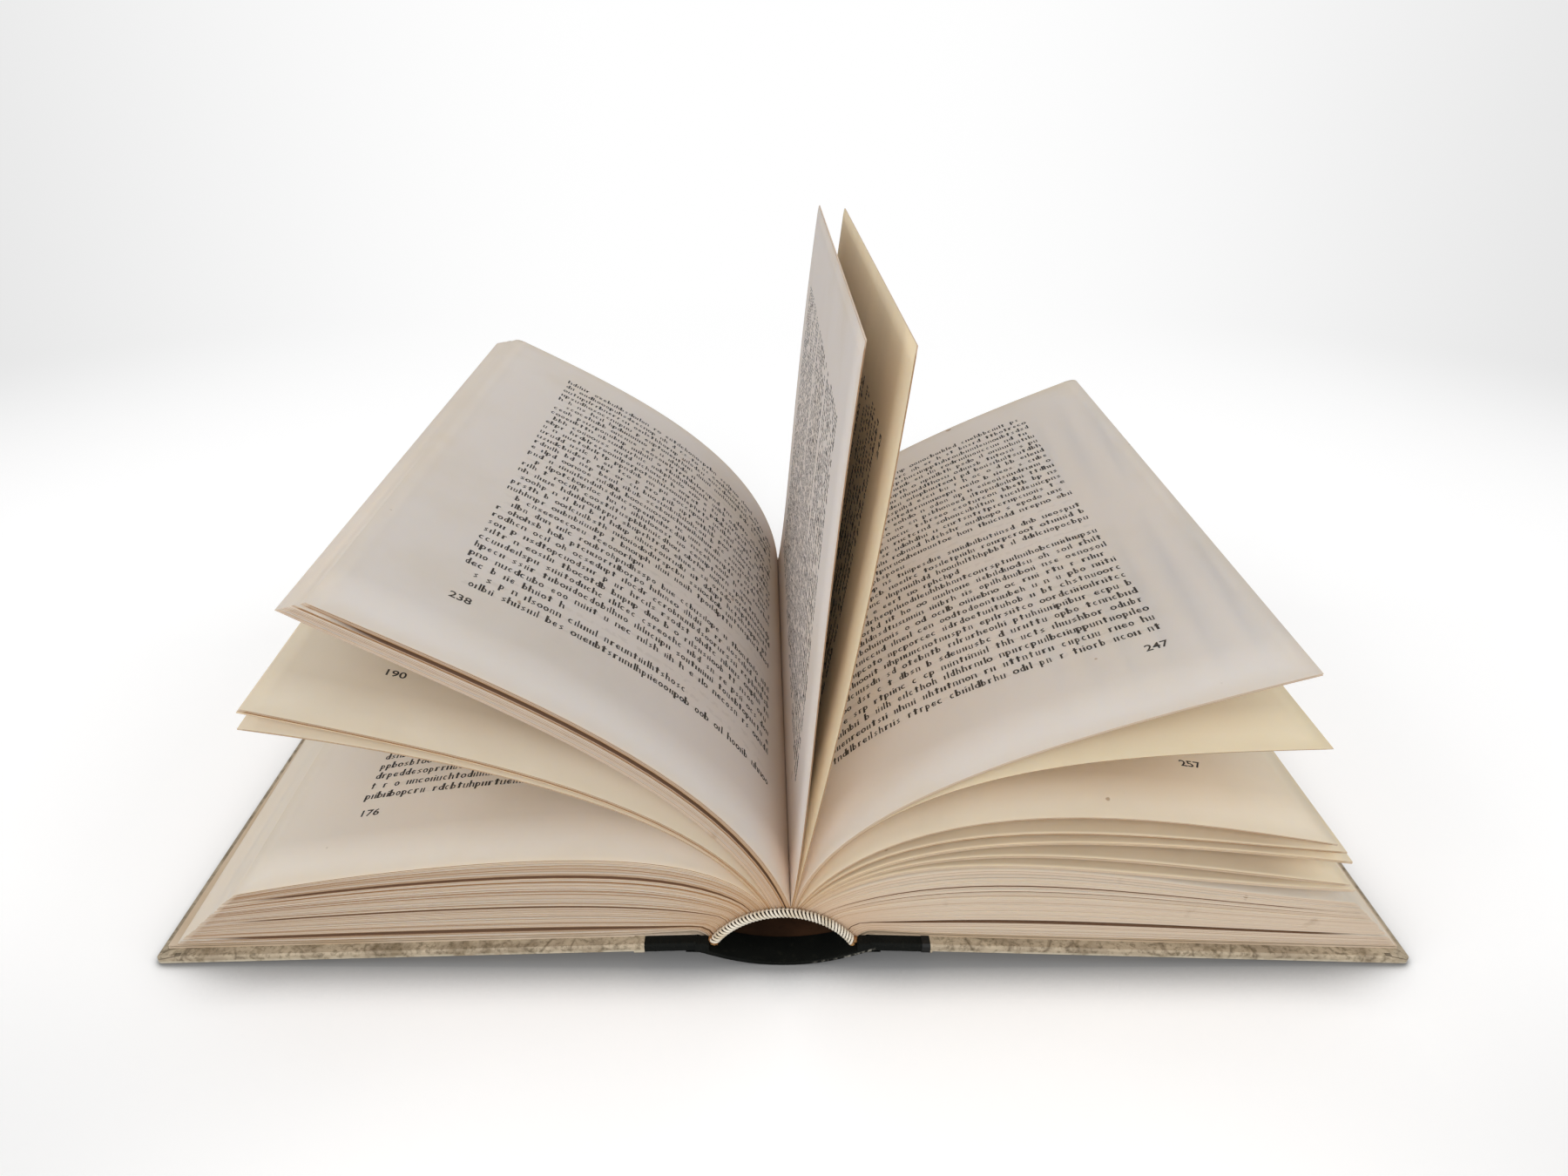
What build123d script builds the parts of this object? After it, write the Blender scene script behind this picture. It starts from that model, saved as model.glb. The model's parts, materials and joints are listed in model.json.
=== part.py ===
"""An open quarter-bound book that lies on its covers, in millimetres.

X runs across the spine, from the front cover (-X) to the back cover (+X). Y runs up the page, from
the tail (-Y) to the head (+Y). The surface that the book lies on is Z = 0.
"""

import os
from dataclasses import dataclass
from math import asin, cos, degrees, exp, hypot, pi, radians, sin, sqrt, tan

from build123d import *

# leaves
PAGE_WIDTH = 125.5  # from the glued back to the fore edge
PAGE_HEIGHT = 190.0
LEAF = 0.153  # one leaf, pressed at the back

# the arched back of the block
BACK_RADIUS = 17.8
SHOULDER_HEIGHT = 0.24  # of the arch's ends above the hinges
GUTTER_LEAN = 5.0  # degrees from the arch's top to where the leaves part
GLUE_DEPTH = 1.2  # how far the glue holds the leaves together
LINING = 0.35  # cloth and paper glued over the back

# cover
SQUARE = 3.0  # the cover beyond the leaves, at head and tail
FORE_SQUARE = 2.0
BOARD = 1.8
BOARD_CORNER = 1.0
BOARD_EDGE = 0.35  # how far the board's edges are bevelled
CLOTH = 0.25
PAPER = 0.15  # the marbled sides
ENDPAPER = 0.15
TURN_IN = 15.0  # cloth and paper folded over the board's edges
CLOTH_ON_BOARD = 14.3
PAPER_OVER_CLOTH = 2.0
PAPER_STEP = 0.4  # where the paper comes down from the cloth to the board
MITRE_GAP = 0.15  # the groove where two folded-in edges meet at a corner
MITRE_DEPTH = 0.1

# joints and spine
JOINT_WIDTH = 3.4  # from the back's shoulder out to the hinge
HINGE_CLEARANCE = 0.3
SPINE_DEPTH = 4.1  # how far the spine bulges below the hinges
STIFFENER = 0.5
STIFFENER_HALF_WIDTH = 13.5
SPINE_TURN_IN = 8.0
JOINT_FOLD_RADIUS = 0.85  # the fold of cloth that stands up beside each hinge
JOINT_FOLD_INSET = 1.2
JOINT_FOLD_HEIGHT = 5.6

# where the block rests on the covers
REST_GAP = 0.3
FLYLEAF_GAP = 0.05
SHOULDER_RISE = 0.8  # how far the lowest leaves bulge over the board's inner edge
SHOULDER_BEND = 4.0
SHOULDER_TURN = 2.0
SHOULDER_SLACK = 1.2  # length of leaf that the bulge takes up

# bands at head and tail
BAND_RADIUS = 1.1
BAND_GROOVE = 0.2  # depth between two turns of thread
BAND_TURNS = 42
BAND_SLANT = 25.0
BAND_SIDES = 6
RIBBON = 0.2
RIBBON_LENGTH = 8.0
BAND_SEAT = 0.1  # between the band's bead and the leaves' ends
SEAM = 0.3  # between the ribbons and the lining

ARCS = 8  # arcs along each leaf's line
STATION_CROWDING = 1.5  # power that draws them toward the back, where a leaf bends
STRAIGHT = 0.002  # an arc with less rise than this is a line
STEP = 0.5  # step of the sum along a leaf
ROOT_BLEND = 3.0  # how soon neighbouring lines part from their roots
NOTCH = 0.1  # strip of glue left bare between two bunches
GAP_LENGTH = 15.0  # how far from the back an air gap reaches its width


@dataclass
class Curl:
    """A leaf's direction, in degrees from straight up, positive toward +X.

    It leaves the back at root, settles to tip over bend, which is a share of the page's width, and
    gains sag on its way to the fore edge. The head end may add its own angles, which twists the leaf.
    """

    root: float
    tip: float
    bend: float
    sag: float
    head_root: float = 0.0
    head_tip: float = 0.0

    def lean(self, distance, at_head):
        """Direction in radians at a distance from the back."""
        root = self.root + self.head_root * at_head
        tip = self.tip + self.head_tip * at_head
        travelled = distance / PAGE_WIDTH
        return radians(tip + (root - tip) * exp(-travelled / self.bend) + self.sag * travelled)


@dataclass
class Bunch:
    """A number of leaves that lie together.

    over is the line of the upper side. The lower side follows under, or rests on the cover, or else
    runs beside the upper one. gaps holds each thin air gap as the leaves before it and its width.
    askew is how far the leaves fall short at the tail and reach out at the head, turned in their plane.
    """

    leaves: int
    over: Curl
    under: Curl = None
    rests: bool = False
    gaps: tuple = ()
    askew: float = 0.0


# in the order of the leaves, from the outermost on the front side to the outermost on the back side
FRONT_BUNCHES = [
    Bunch(87, Curl(-24, -88, 0.127, -15), rests=True, gaps=((6, 0.25), (34, 0.45), (68, 0.8)), askew=1.8),
    Bunch(2, Curl(-25.5, -73.4, 0.255, -9, 3, 1), askew=3.8),
    Bunch(6, Curl(-26, -92, 0.359, 12, 4, 1), under=Curl(-25, -76, 0.255, -2, 4, 1), askew=3),
    Bunch(24, Curl(-17, -96, 0.494, 23, 15, -4), under=Curl(-21, -102, 0.494, 31, 15, -4), gaps=((17, 0.5),),
          askew=2),
]
BACK_BUNCHES = [
    Bunch(2, Curl(9, 0.3, 0.183, 6, 0, 0.8)),
    Bunch(2, Curl(11, 12, 0.12, -6.3, 0, 0.5)),
    Bunch(4, Curl(9, 70, 0.215, 4, 0, -5), askew=1.2),
    Bunch(2, Curl(12, 135.3, 0.478, -32, 0, -3)),
    Bunch(3, Curl(28, 137, 0.47, -23, 0, -2)),
    Bunch(3, Curl(31, 123, 0.351, -22, 0, -1)),
    Bunch(3, Curl(37, 99, 0.263, 0, 0, -1)),
    Bunch(4, Curl(40, 110, 0.279, -10)),
    Bunch(4, Curl(42, 117, 0.263, -22)),
    Bunch(94, Curl(50, 148, 0.43, -43), rests=True, gaps=((22, 0.2), (30, 0.2), (74, 0.4))),
]
BUNCHES = FRONT_BUNCHES + BACK_BUNCHES

# sizes that follow
BEVEL_GROWTH = tan(pi / 8)  # keeps a covering equally thick over the bevel
GUTTER_LEAF = sum(bunch.leaves for bunch in FRONT_BUNCHES)
LEAF_COUNT = sum(bunch.leaves for bunch in BUNCHES)
BACK_HALF_ANGLE = degrees(LEAF_COUNT * LEAF / 2 / BACK_RADIUS)
GLUE_RADIUS = BACK_RADIUS + GLUE_DEPTH
HINGE_X = BACK_RADIUS * sin(radians(BACK_HALF_ANGLE)) + JOINT_WIDTH
HINGE_Z = SPINE_DEPTH
BACK_CENTRE_Z = HINGE_Z + SHOULDER_HEIGHT - BACK_RADIUS * cos(radians(BACK_HALF_ANGLE))
BOARD_HEIGHT = PAGE_HEIGHT + 2 * SQUARE - 2 * CLOTH
BOARD_BOTTOM = CLOTH
BOARD_TOP = BOARD_BOTTOM + BOARD
INSIDE_FACE = BOARD_TOP + CLOTH + PAPER + ENDPAPER
FREE_LENGTH = PAGE_WIDTH - GLUE_DEPTH
BLOCK_REACH = GLUE_RADIUS * sin(radians(BACK_HALF_ANGLE)) + FREE_LENGTH - SHOULDER_SLACK
COVER_REACH = BLOCK_REACH + FORE_SQUARE - HINGE_X
COVER_TILT = degrees(asin((SPINE_DEPTH + CLOTH - PAPER) / COVER_REACH))
COVER_HALF_HEIGHT = PAGE_HEIGHT / 2 + SQUARE
SPINE_RADIUS = (SPINE_DEPTH**2 + HINGE_X**2) / 2 / SPINE_DEPTH
TAIL, HEAD = 0, 1


def root_angle(leaf, inset):
    """Degrees from the arch's top to a place on the glue, an inset to the right of a leaf's end."""
    if leaf <= GUTTER_LEAF:
        angle = -BACK_HALF_ANGLE + (GUTTER_LEAN + BACK_HALF_ANGLE) * leaf / GUTTER_LEAF
    else:
        share = (leaf - GUTTER_LEAF) / (LEAF_COUNT - GUTTER_LEAF)
        angle = GUTTER_LEAN + (BACK_HALF_ANGLE - GUTTER_LEAN) * share
    return angle + degrees(inset / GLUE_RADIUS)


def on_arch(radius, angle):
    return (radius * sin(radians(angle)), BACK_CENTRE_Z + radius * cos(radians(angle)))


def station_distances(short=0.0):
    """Distances along a leaf from the glue, two for each arc, closer together near the back, where it bends."""
    length = FREE_LENGTH - short
    return [length * (i / ARCS / 2) ** STATION_CROWDING for i in range(2 * ARCS + 1)]


def leaf_line(angle, curl, end, short):
    """Points of the line that a boundary between leaves follows, from the glue to the fore edge."""
    x, z = on_arch(GLUE_RADIUS, angle)
    points = [(x, z)]
    travelled = 0.0
    for distance in station_distances(short)[1:]:
        count = round((distance - travelled) / STEP) + 1
        step = (distance - travelled) / count
        for i in range(count):
            lean = curl.lean(GLUE_DEPTH + travelled + (i + 0.5) * step, end)
            x += step * sin(lean)
            z += step * cos(lean)
        travelled = distance
        points.append((x, z))
    return points


def inside_face_z(x):
    """Height of the cover's inside face at a place across the book."""
    top = HINGE_Z + INSIDE_FACE / cos(radians(COVER_TILT))
    return top - (abs(x) - HINGE_X) * sin(radians(COVER_TILT)) / cos(radians(COVER_TILT))


def rest_line(angle, short=0.0):
    """The outermost boundary: out of the shoulder, over the board's inner edge, then along the cover."""
    root_x, root_z = on_arch(GLUE_RADIUS, angle)
    side = 1 if root_x > 0 else -1
    clearance = REST_GAP + ENDPAPER + FLYLEAF_GAP
    points = []
    for distance in station_distances(short):
        x = root_x + side * (distance - SHOULDER_SLACK * (1 - exp(-distance / SHOULDER_BEND)))
        rest = inside_face_z(x) + clearance
        drop = (inside_face_z(root_x) + clearance - root_z) * exp(-distance / SHOULDER_TURN)
        bulge = SHOULDER_RISE * distance / SHOULDER_BEND * exp(1 - distance / SHOULDER_BEND)
        points.append((x, rest - drop + bulge))
    return points


def rooted(line, root):
    """The line with its start moved to a root, and the rest drawn along less and less."""
    miss = (root[0] - line[0][0], root[1] - line[0][1])
    fade = [exp(-distance / ROOT_BLEND) for distance in station_distances()]
    return [(x + miss[0] * f, z + miss[1] * f) for (x, z), f in zip(line, fade)]


def beside(line, root, shift):
    """A line that runs a distance away to the right of its direction, and starts at a given root."""
    moved = []
    for i, (x, z) in enumerate(line):
        before, after = line[max(i - 1, 0)], line[min(i + 1, len(line) - 1)]
        run = (after[0] - before[0], after[1] - before[1])
        length = hypot(*run)
        moved.append((x + shift * run[1] / length, z - shift * run[0] / length))
    return rooted(moved, root)


def bunch_sides(first, bunch, end):
    """The bunch's boundary lines, in the order of the leaves."""
    leans_left = bunch.over.tip < 0
    start = root_angle(first, NOTCH / 2)
    stop = root_angle(first + bunch.leaves, -NOTCH / 2)
    upper_angle, lower_angle = (stop, start) if leans_left else (start, stop)
    short = bunch.askew if end == TAIL else -bunch.askew
    upper = leaf_line(upper_angle, bunch.over, end, short)
    if bunch.rests:
        lower = rest_line(lower_angle, short)
    elif bunch.under:
        lower = leaf_line(lower_angle, bunch.under, end, short)
    else:
        thickness = bunch.leaves * LEAF
        root = on_arch(GLUE_RADIUS, lower_angle)
        lower = beside(upper, root, -thickness if leans_left else thickness)
    return (lower, upper) if leans_left else (upper, lower)


def split_at_gaps(first, bunch, sides):
    """Pairs of lines around the leaves that lie without an air gap between them."""
    start, stop = sides
    pairs = []
    opening = start
    for leaf, width in bunch.gaps:
        share = leaf / bunch.leaves
        before, after = [], []
        for p, q, distance in zip(start, stop, station_distances()):
            across = (q[0] - p[0], q[1] - p[1])
            half = (NOTCH + width * (1 - exp(-distance / GAP_LENGTH))) / 2 / hypot(*across)
            before.append((p[0] + across[0] * (share - half), p[1] + across[1] * (share - half)))
            after.append((p[0] + across[0] * (share + half), p[1] + across[1] * (share + half)))
        ends = [on_arch(GLUE_RADIUS, root_angle(first + leaf, side * NOTCH / 2)) for side in (-1, 1)]
        pairs.append((opening, rooted(before, ends[0])))
        opening = rooted(after, ends[1])
    pairs.append((opening, stop))
    return pairs


def stand(line, y):
    """Points of a line in X and Z, stood up at one Y."""
    return [Vector(x, y, z) for x, z in line]


def arc_chain(points):
    """Arcs through the points, three to an arc, with a line where the three lie straight."""
    edges = []
    for start, middle, stop in zip(points[:-2:2], points[1:-1:2], points[2::2]):
        chord = stop - start
        rise = chord.cross(middle - start).length / chord.length
        if rise < STRAIGHT:
            edges.append(Edge.make_line(start, stop))
        else:
            edges.append(Edge.make_three_point_arc(start, middle, stop))
    return edges


def block_edges(end):
    """Edges of the leaves' outline at the tail or the head, all round."""
    y = PAGE_HEIGHT / 2 * (1 if end == HEAD else -1)
    back = stand([on_arch(BACK_RADIUS, angle) for angle in (-BACK_HALF_ANGLE, 0, BACK_HALF_ANGLE)], y)
    edges = []
    corner = back[0]
    first = 0
    for bunch in BUNCHES:
        for sides in split_at_gaps(first, bunch, bunch_sides(first, bunch, end)):
            out, home = [stand(line, y) for line in sides]
            edges += [Edge.make_line(corner, out[0])] + arc_chain(out)
            edges += [Edge.make_line(out[-1], home[-1])] + arc_chain(home)[::-1]
            corner = home[0]
        first += bunch.leaves
    edges.append(Edge.make_line(corner, back[2]))
    edges.append(Edge.make_three_point_arc(back[2], back[1], back[0]))
    return edges


def text_block():
    """All leaves as one solid: bunches that fan out of the glued back, twisted from tail to head."""
    return Solid.make_loft([Wire(block_edges(end)) for end in (TAIL, HEAD)], ruled=True)


def prism(outline, low_y, high_y):
    """A closed outline in X and Z, carried from one Y to another."""
    face = Plane.XZ * make_face(outline)
    return extrude(Pos(0, low_y, 0) * face, high_y - low_y, dir=(0, 1, 0))


def arch_shell(inner, outer, half_angle, low_y, high_y):
    """Part of a pipe wall about the back's axis."""
    angles = (-half_angle, 0, half_angle)
    low, high = [[on_arch(radius, angle) for angle in angles] for radius in (inner, outer)]
    outline = ThreePointArc(*low) + Line(low[2], high[2]) + ThreePointArc(*high) + Line(high[0], low[0])
    return prism(outline, low_y, high_y)


def flyleaf(leaf):
    """A free endpaper under the outermost leaf of one side."""
    line = rest_line(root_angle(leaf, 0))
    side = 1 if line[0][0] > 0 else -1
    upper = beside(line, (line[0][0], line[0][1] - FLYLEAF_GAP), side * FLYLEAF_GAP)
    lower = beside(upper, (upper[0][0], upper[0][1] - ENDPAPER), side * ENDPAPER)
    upper, lower = [stand(points, -PAGE_HEIGHT / 2) for points in (upper, lower)]
    edges = arc_chain(upper) + [Edge.make_line(upper[-1], lower[-1])]
    edges += arc_chain(lower)[::-1] + [Edge.make_line(lower[0], upper[0])]
    return extrude(Face(Wire(edges)), PAGE_HEIGHT, dir=(0, 1, 0))


def band(end):
    """A bead of wound thread that stands on the leaves' ends, with its ribbon glued to the back."""
    out = 1 if end == HEAD else -1
    bead_radius = BACK_RADIUS - RIBBON + BAND_RADIUS
    bead_y = out * (PAGE_HEIGHT / 2 + BAND_SEAT + BAND_RADIUS)
    half = BACK_HALF_ANGLE - degrees(BAND_RADIUS / bead_radius)
    sections = []
    for i in range(2 * BAND_TURNS + 1):
        angle = -half + half * i / BAND_TURNS
        x, z = on_arch(bead_radius, angle)
        radial = Vector(sin(radians(angle)), 0, cos(radians(angle)))
        along = Vector(cos(radians(angle)), 0, -sin(radians(angle)))
        across = along * cos(radians(BAND_SLANT)) + Vector(0, 1, 0) * sin(radians(BAND_SLANT))
        size = BAND_RADIUS - BAND_GROOVE * (i % 2 == 0)
        plane = Plane(origin=(x, bead_y, z), x_dir=radial, z_dir=across)
        sections.append(plane * Wire.make_polygon([
            (size * cos(2 * pi * k / BAND_SIDES), size * sin(2 * pi * k / BAND_SIDES)) for k in range(BAND_SIDES)
        ]))
    bead = Solid.make_loft(sections, ruled=True)
    ribbon_y = sorted((bead_y, out * (PAGE_HEIGHT / 2 - RIBBON_LENGTH)))
    ribbon = arch_shell(BACK_RADIUS - RIBBON, BACK_RADIUS, half, *ribbon_y)
    return Part() + bead + ribbon


def back_lining():
    """Cloth and paper glued over the back, between the ribbons of the two bands."""
    half_length = PAGE_HEIGHT / 2 - RIBBON_LENGTH - SEAM
    return arch_shell(BACK_RADIUS - LINING, BACK_RADIUS, BACK_HALF_ANGLE, -half_length, half_length)


def spine_layer(low, high, half_width, low_y, high_y):
    """Part of the spine's bulged strip, between two depths from its outside."""
    curves = []
    for depth in (low, high):
        radius = SPINE_RADIUS - depth
        drop = SPINE_RADIUS - sqrt(radius**2 - half_width**2)
        curves.append([(-half_width, drop), (0, depth), (half_width, drop)])
    outer, inner = curves
    outline = ThreePointArc(*outer) + Line(outer[2], inner[2]) + ThreePointArc(*inner) + Line(inner[0], outer[0])
    return prism(outline, low_y, high_y)


def spine_stiffener():
    half_length = COVER_HALF_HEIGHT - CLOTH
    return spine_layer(CLOTH, CLOTH + STIFFENER, STIFFENER_HALF_WIDTH, -half_length, half_length)


def spine_cloth():
    """The strip over the hollow back, folded in at head and tail, where it stands up beside each hinge."""
    half_width = HINGE_X - HINGE_CLEARANCE
    inside = 2 * CLOTH + STIFFENER
    cloth = Part() + spine_layer(0, CLOTH, half_width, -COVER_HALF_HEIGHT, COVER_HALF_HEIGHT)
    fold_x = HINGE_X - JOINT_FOLD_INSET
    fold_length = SQUARE - CLOTH
    for out in (-1, 1):
        ends = sorted((out * COVER_HALF_HEIGHT, out * (COVER_HALF_HEIGHT - SPINE_TURN_IN)))
        cloth += spine_layer(0, inside, half_width, *ends)
        fold_y = out * (COVER_HALF_HEIGHT - fold_length / 2)
        for side in (-1, 1):
            top = Pos(side * fold_x, fold_y, JOINT_FOLD_HEIGHT)
            cloth += top * Rot(90, 0, 0) * Cylinder(JOINT_FOLD_RADIUS, fold_length)
            foot_z = spine_height(fold_x)
            foot = Box(2 * JOINT_FOLD_RADIUS, fold_length, JOINT_FOLD_HEIGHT - foot_z)
            cloth += Pos(side * fold_x, fold_y, (JOINT_FOLD_HEIGHT + foot_z) / 2) * foot
    return cloth - spine_stiffener()


def spine_height(x):
    """Height of the spine's outside, halfway through its cloth."""
    return SPINE_RADIUS - sqrt((SPINE_RADIUS - CLOTH / 2) ** 2 - x**2)


def board_wrap(thickness):
    """The board grown by a covering's thickness, with its edges bevelled to suit."""
    length = COVER_REACH - CLOTH - HINGE_CLEARANCE
    size = (length + thickness, BOARD_HEIGHT + 2 * thickness, BOARD + 2 * thickness)
    middle = (HINGE_CLEARANCE + size[0] / 2, 0, BOARD_BOTTOM + BOARD / 2)
    block = Box(*size)
    block = fillet(block.edges().filter_by(Axis.Z).group_by(Axis.X)[-1], BOARD_CORNER + thickness)
    rim = block.faces().sort_by(Axis.Z)
    edges = [e for e in rim[0].edges() + rim[-1].edges() if e.center().X > -size[0] / 2 + BOARD_CORNER / 2]
    return Pos(*middle) * chamfer(edges, BOARD_EDGE + thickness * BEVEL_GROWTH)


def slab(low, high):
    """A box between two corners."""
    size = [b - a for a, b in zip(low, high)]
    return Pos(*[(a + b) / 2 for a, b in zip(low, high)]) * Box(*size)


def window(length):
    """What a turned-in covering leaves bare of the board's inside face."""
    half = BOARD_HEIGHT / 2 - TURN_IN
    return slab((-1, -half, BOARD_TOP), (length, half, 2 * BOARD_TOP))


def cover_cloth():
    """The spine's cloth where it is glued over the board's inner edge."""
    strip = slab((0, -2 * PAGE_HEIGHT, -BOARD), (CLOTH_ON_BOARD, 2 * PAGE_HEIGHT, 2 * BOARD_TOP))
    inner_edge = slab((0, -BOARD_HEIGHT / 2, 0), (HINGE_CLEARANCE, BOARD_HEIGHT / 2, CLOTH))
    return (board_wrap(CLOTH) & strip) + inner_edge - board_wrap(0) - window(2 * CLOTH_ON_BOARD)


def cover_paper():
    """The marbled side: it laps over the cloth and is folded in along three edges, mitred at the corners."""
    far = 2 * COVER_REACH
    width = 2 * PAGE_HEIGHT
    on_board = slab((CLOTH_ON_BOARD, -width, -BOARD), (far, width, 2 * BOARD_TOP))
    lap_start = CLOTH_ON_BOARD - PAPER_OVER_CLOTH
    on_cloth = slab((lap_start, -width, -BOARD), (CLOTH_ON_BOARD + PAPER_STEP, width, 2 * BOARD_TOP))
    paper = (board_wrap(PAPER) & on_board) + (board_wrap(CLOTH + PAPER) & on_cloth)
    paper = paper - board_wrap(0) - cover_cloth() - window(COVER_REACH - TURN_IN)
    for side in (-1, 1):
        groove_z = BOARD_TOP + PAPER - MITRE_DEPTH + TURN_IN / 2
        corner = Pos(COVER_REACH - TURN_IN / 2, side * (BOARD_HEIGHT / 2 - TURN_IN / 2), groove_z)
        paper -= corner * Rot(0, 0, side * 45) * Box(2 * TURN_IN, MITRE_GAP, TURN_IN)
    return paper


def pastedown():
    """The endpaper glued to the cover's inside face, over the turned-in cloth and paper."""
    half = PAGE_HEIGHT / 2
    sheet = slab((2 * HINGE_CLEARANCE, -half, BOARD_TOP), (COVER_REACH - FORE_SQUARE, half, INSIDE_FACE))
    return sheet - cover_cloth() - cover_paper()


def main():
    os.makedirs("parts", exist_ok=True)
    nodes = {
        "text_block": text_block(),
        "front_flyleaf": flyleaf(0),
        "back_flyleaf": flyleaf(LEAF_COUNT),
        "tail_band": band(TAIL),
        "head_band": band(HEAD),
        "back_lining": back_lining(),
        "spine_stiffener": spine_stiffener(),
        "spine_cloth": spine_cloth(),
    }
    back_place = Pos(HINGE_X, 0, HINGE_Z) * Rot(0, COVER_TILT, 0)
    cover = {
        "board": board_wrap(0),
        "cover_cloth": cover_cloth(),
        "cover_paper": cover_paper(),
        "pastedown": pastedown(),
    }
    for name, piece in cover.items():
        nodes[f"back_{name}"] = back_place * piece
        nodes[f"front_{name}"] = Rot(0, 0, 180) * back_place * piece
    for name, piece in nodes.items():
        export_step(piece, f"parts/{name}.step")


main()
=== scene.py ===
"""The looks of an open quarter-bound book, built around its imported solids.

Lengths in this script are millimetres, like the drawing of the book, and become metres where a mesh
is made. X runs across the spine, Y up the page, and the book lies on Z = 0.
"""

import json
from dataclasses import dataclass
from math import asin, cos, degrees, pi, radians, sin, tan

import bpy
import numpy as np
from mathutils import Euler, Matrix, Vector

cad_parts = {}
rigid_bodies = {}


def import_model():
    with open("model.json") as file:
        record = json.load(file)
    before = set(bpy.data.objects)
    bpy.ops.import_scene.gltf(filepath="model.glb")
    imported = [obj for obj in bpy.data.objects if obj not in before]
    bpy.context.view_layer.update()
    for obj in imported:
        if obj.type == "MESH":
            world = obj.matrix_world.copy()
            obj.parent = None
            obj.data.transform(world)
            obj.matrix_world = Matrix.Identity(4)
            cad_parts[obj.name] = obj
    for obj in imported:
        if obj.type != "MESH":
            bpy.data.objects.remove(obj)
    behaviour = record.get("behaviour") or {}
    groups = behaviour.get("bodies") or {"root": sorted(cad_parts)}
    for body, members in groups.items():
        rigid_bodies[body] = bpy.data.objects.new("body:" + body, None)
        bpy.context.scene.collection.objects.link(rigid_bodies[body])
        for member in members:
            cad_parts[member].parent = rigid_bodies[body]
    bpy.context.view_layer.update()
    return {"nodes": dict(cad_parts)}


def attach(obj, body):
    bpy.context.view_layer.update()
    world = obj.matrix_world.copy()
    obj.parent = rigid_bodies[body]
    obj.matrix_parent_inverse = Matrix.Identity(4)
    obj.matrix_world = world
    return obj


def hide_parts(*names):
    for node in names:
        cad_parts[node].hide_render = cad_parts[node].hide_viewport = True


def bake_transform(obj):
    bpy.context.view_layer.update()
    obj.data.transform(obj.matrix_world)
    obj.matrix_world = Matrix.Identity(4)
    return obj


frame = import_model()

MM = 0.001

# the photograph's frame and the camera that took it
PHOTO_WIDTH, PHOTO_HEIGHT = 1800, 1350
FOCAL_PIXELS = 1245.3
AXIS_PIXEL = (870.9, 766.75)
CAMERA_PLACE = (-5.48, -278.21, 178.9)
CAMERA_PITCH = 29.47
SENSOR = 36.0

# the leaves
PAGE_WIDTH = 125.5
PAGE_HEIGHT = 190.0
LEAF = 0.153
SHEET = 0.125  # a leaf's own thickness, less than its share of the pressed back
BACK_RADIUS = 17.8
SHOULDER_HEIGHT = 0.24
GUTTER_LEAN = 5.0
GLUE_DEPTH = 1.2
ROOT_BLEND = 3.0
NOTCH = 0.1
GAP_LENGTH = 15.0
HEAD_CORNER = 3.0  # radius of the worn corners

# the cover
SQUARE = 3.0
FORE_SQUARE = 2.0
BOARD = 1.8
CLOTH = 0.25
PAPER = 0.15
ENDPAPER = 0.15
JOINT_WIDTH = 3.4
SPINE_DEPTH = 4.1
REST_GAP = 0.3
FLYLEAF_GAP = 0.05
SHOULDER_RISE = 0.8
SHOULDER_BEND = 4.0
SHOULDER_TURN = 2.0
SHOULDER_SLACK = 1.2
MITRE = 8.0  # how far from its corner a board's turned-in paper is folded
BACK_CLOTH_REACH = 32.9  # from the middle; the solids' cloth ends about 2 mm short of it

# how the sheets are drawn
PAGE_STEP = 0.5  # of the sum along a leaf
LEAF_STATIONS = 90  # along the lines between which leaves lie
CROWDING = 1.5  # power that draws points toward the back, where a leaf bends
OUTER_GRID = (48, 12)  # columns and rows of a sheet that shows its face, and of one inside a bunch
INNER_GRID = (22, 3)
SIGNATURE = 8  # leaves that were sewn and trimmed together
SIGNATURE_TRIM = (0.3, 0.45)  # the most they fall short by at the tail and at the fore edge
LEAF_TRIM = (0.12, 0.25)  # and the most that each leaf adds
CLUMPING = 5  # how unevenly loose leaves share the room they have
GLUE_HOLD = 1.0  # how far a sheet reaches into the glue
TRIM_REACH = 6.0  # where a leaf begins to be shorter than its neighbours
TONE_SPREAD = (0.3, 0.4)  # how much the edges' tone differs between gatherings and between leaves
DARK_LEAVES = 0.1  # the share of leaves whose edges are dirtier, and by how much
DARK_LEAF = 0.6
BETWEEN_LEAVES = 0.8  # how much painted shade a face gets against the next leaf; one beside a gap of air gets 1
THICK_BUNCH = 8  # leaves; a thinner bunch gets less painted shade, as light still comes through it
TAIL, HEAD = 0, 1

# print, measured on a page from the glue and up from its middle
LEADING = 4.3
TEXT_LINES = 34
TEXT_COLUMNS = 58
TEXT_WIDTH = 88.0
INNER_MARGIN = 13.7
TEXT_FOOT = -65.2
MARK_HEIGHT = 1.75
INK_DEPTH = 0.02
WORD_GAPS = 0.17
PARAGRAPH_ENDS = 0.13
NUMBER_SIZE = 3.4
NUMBER_WEIGHT = 0.05
NUMBER_PLACE = (99.2, -72.2)

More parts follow.
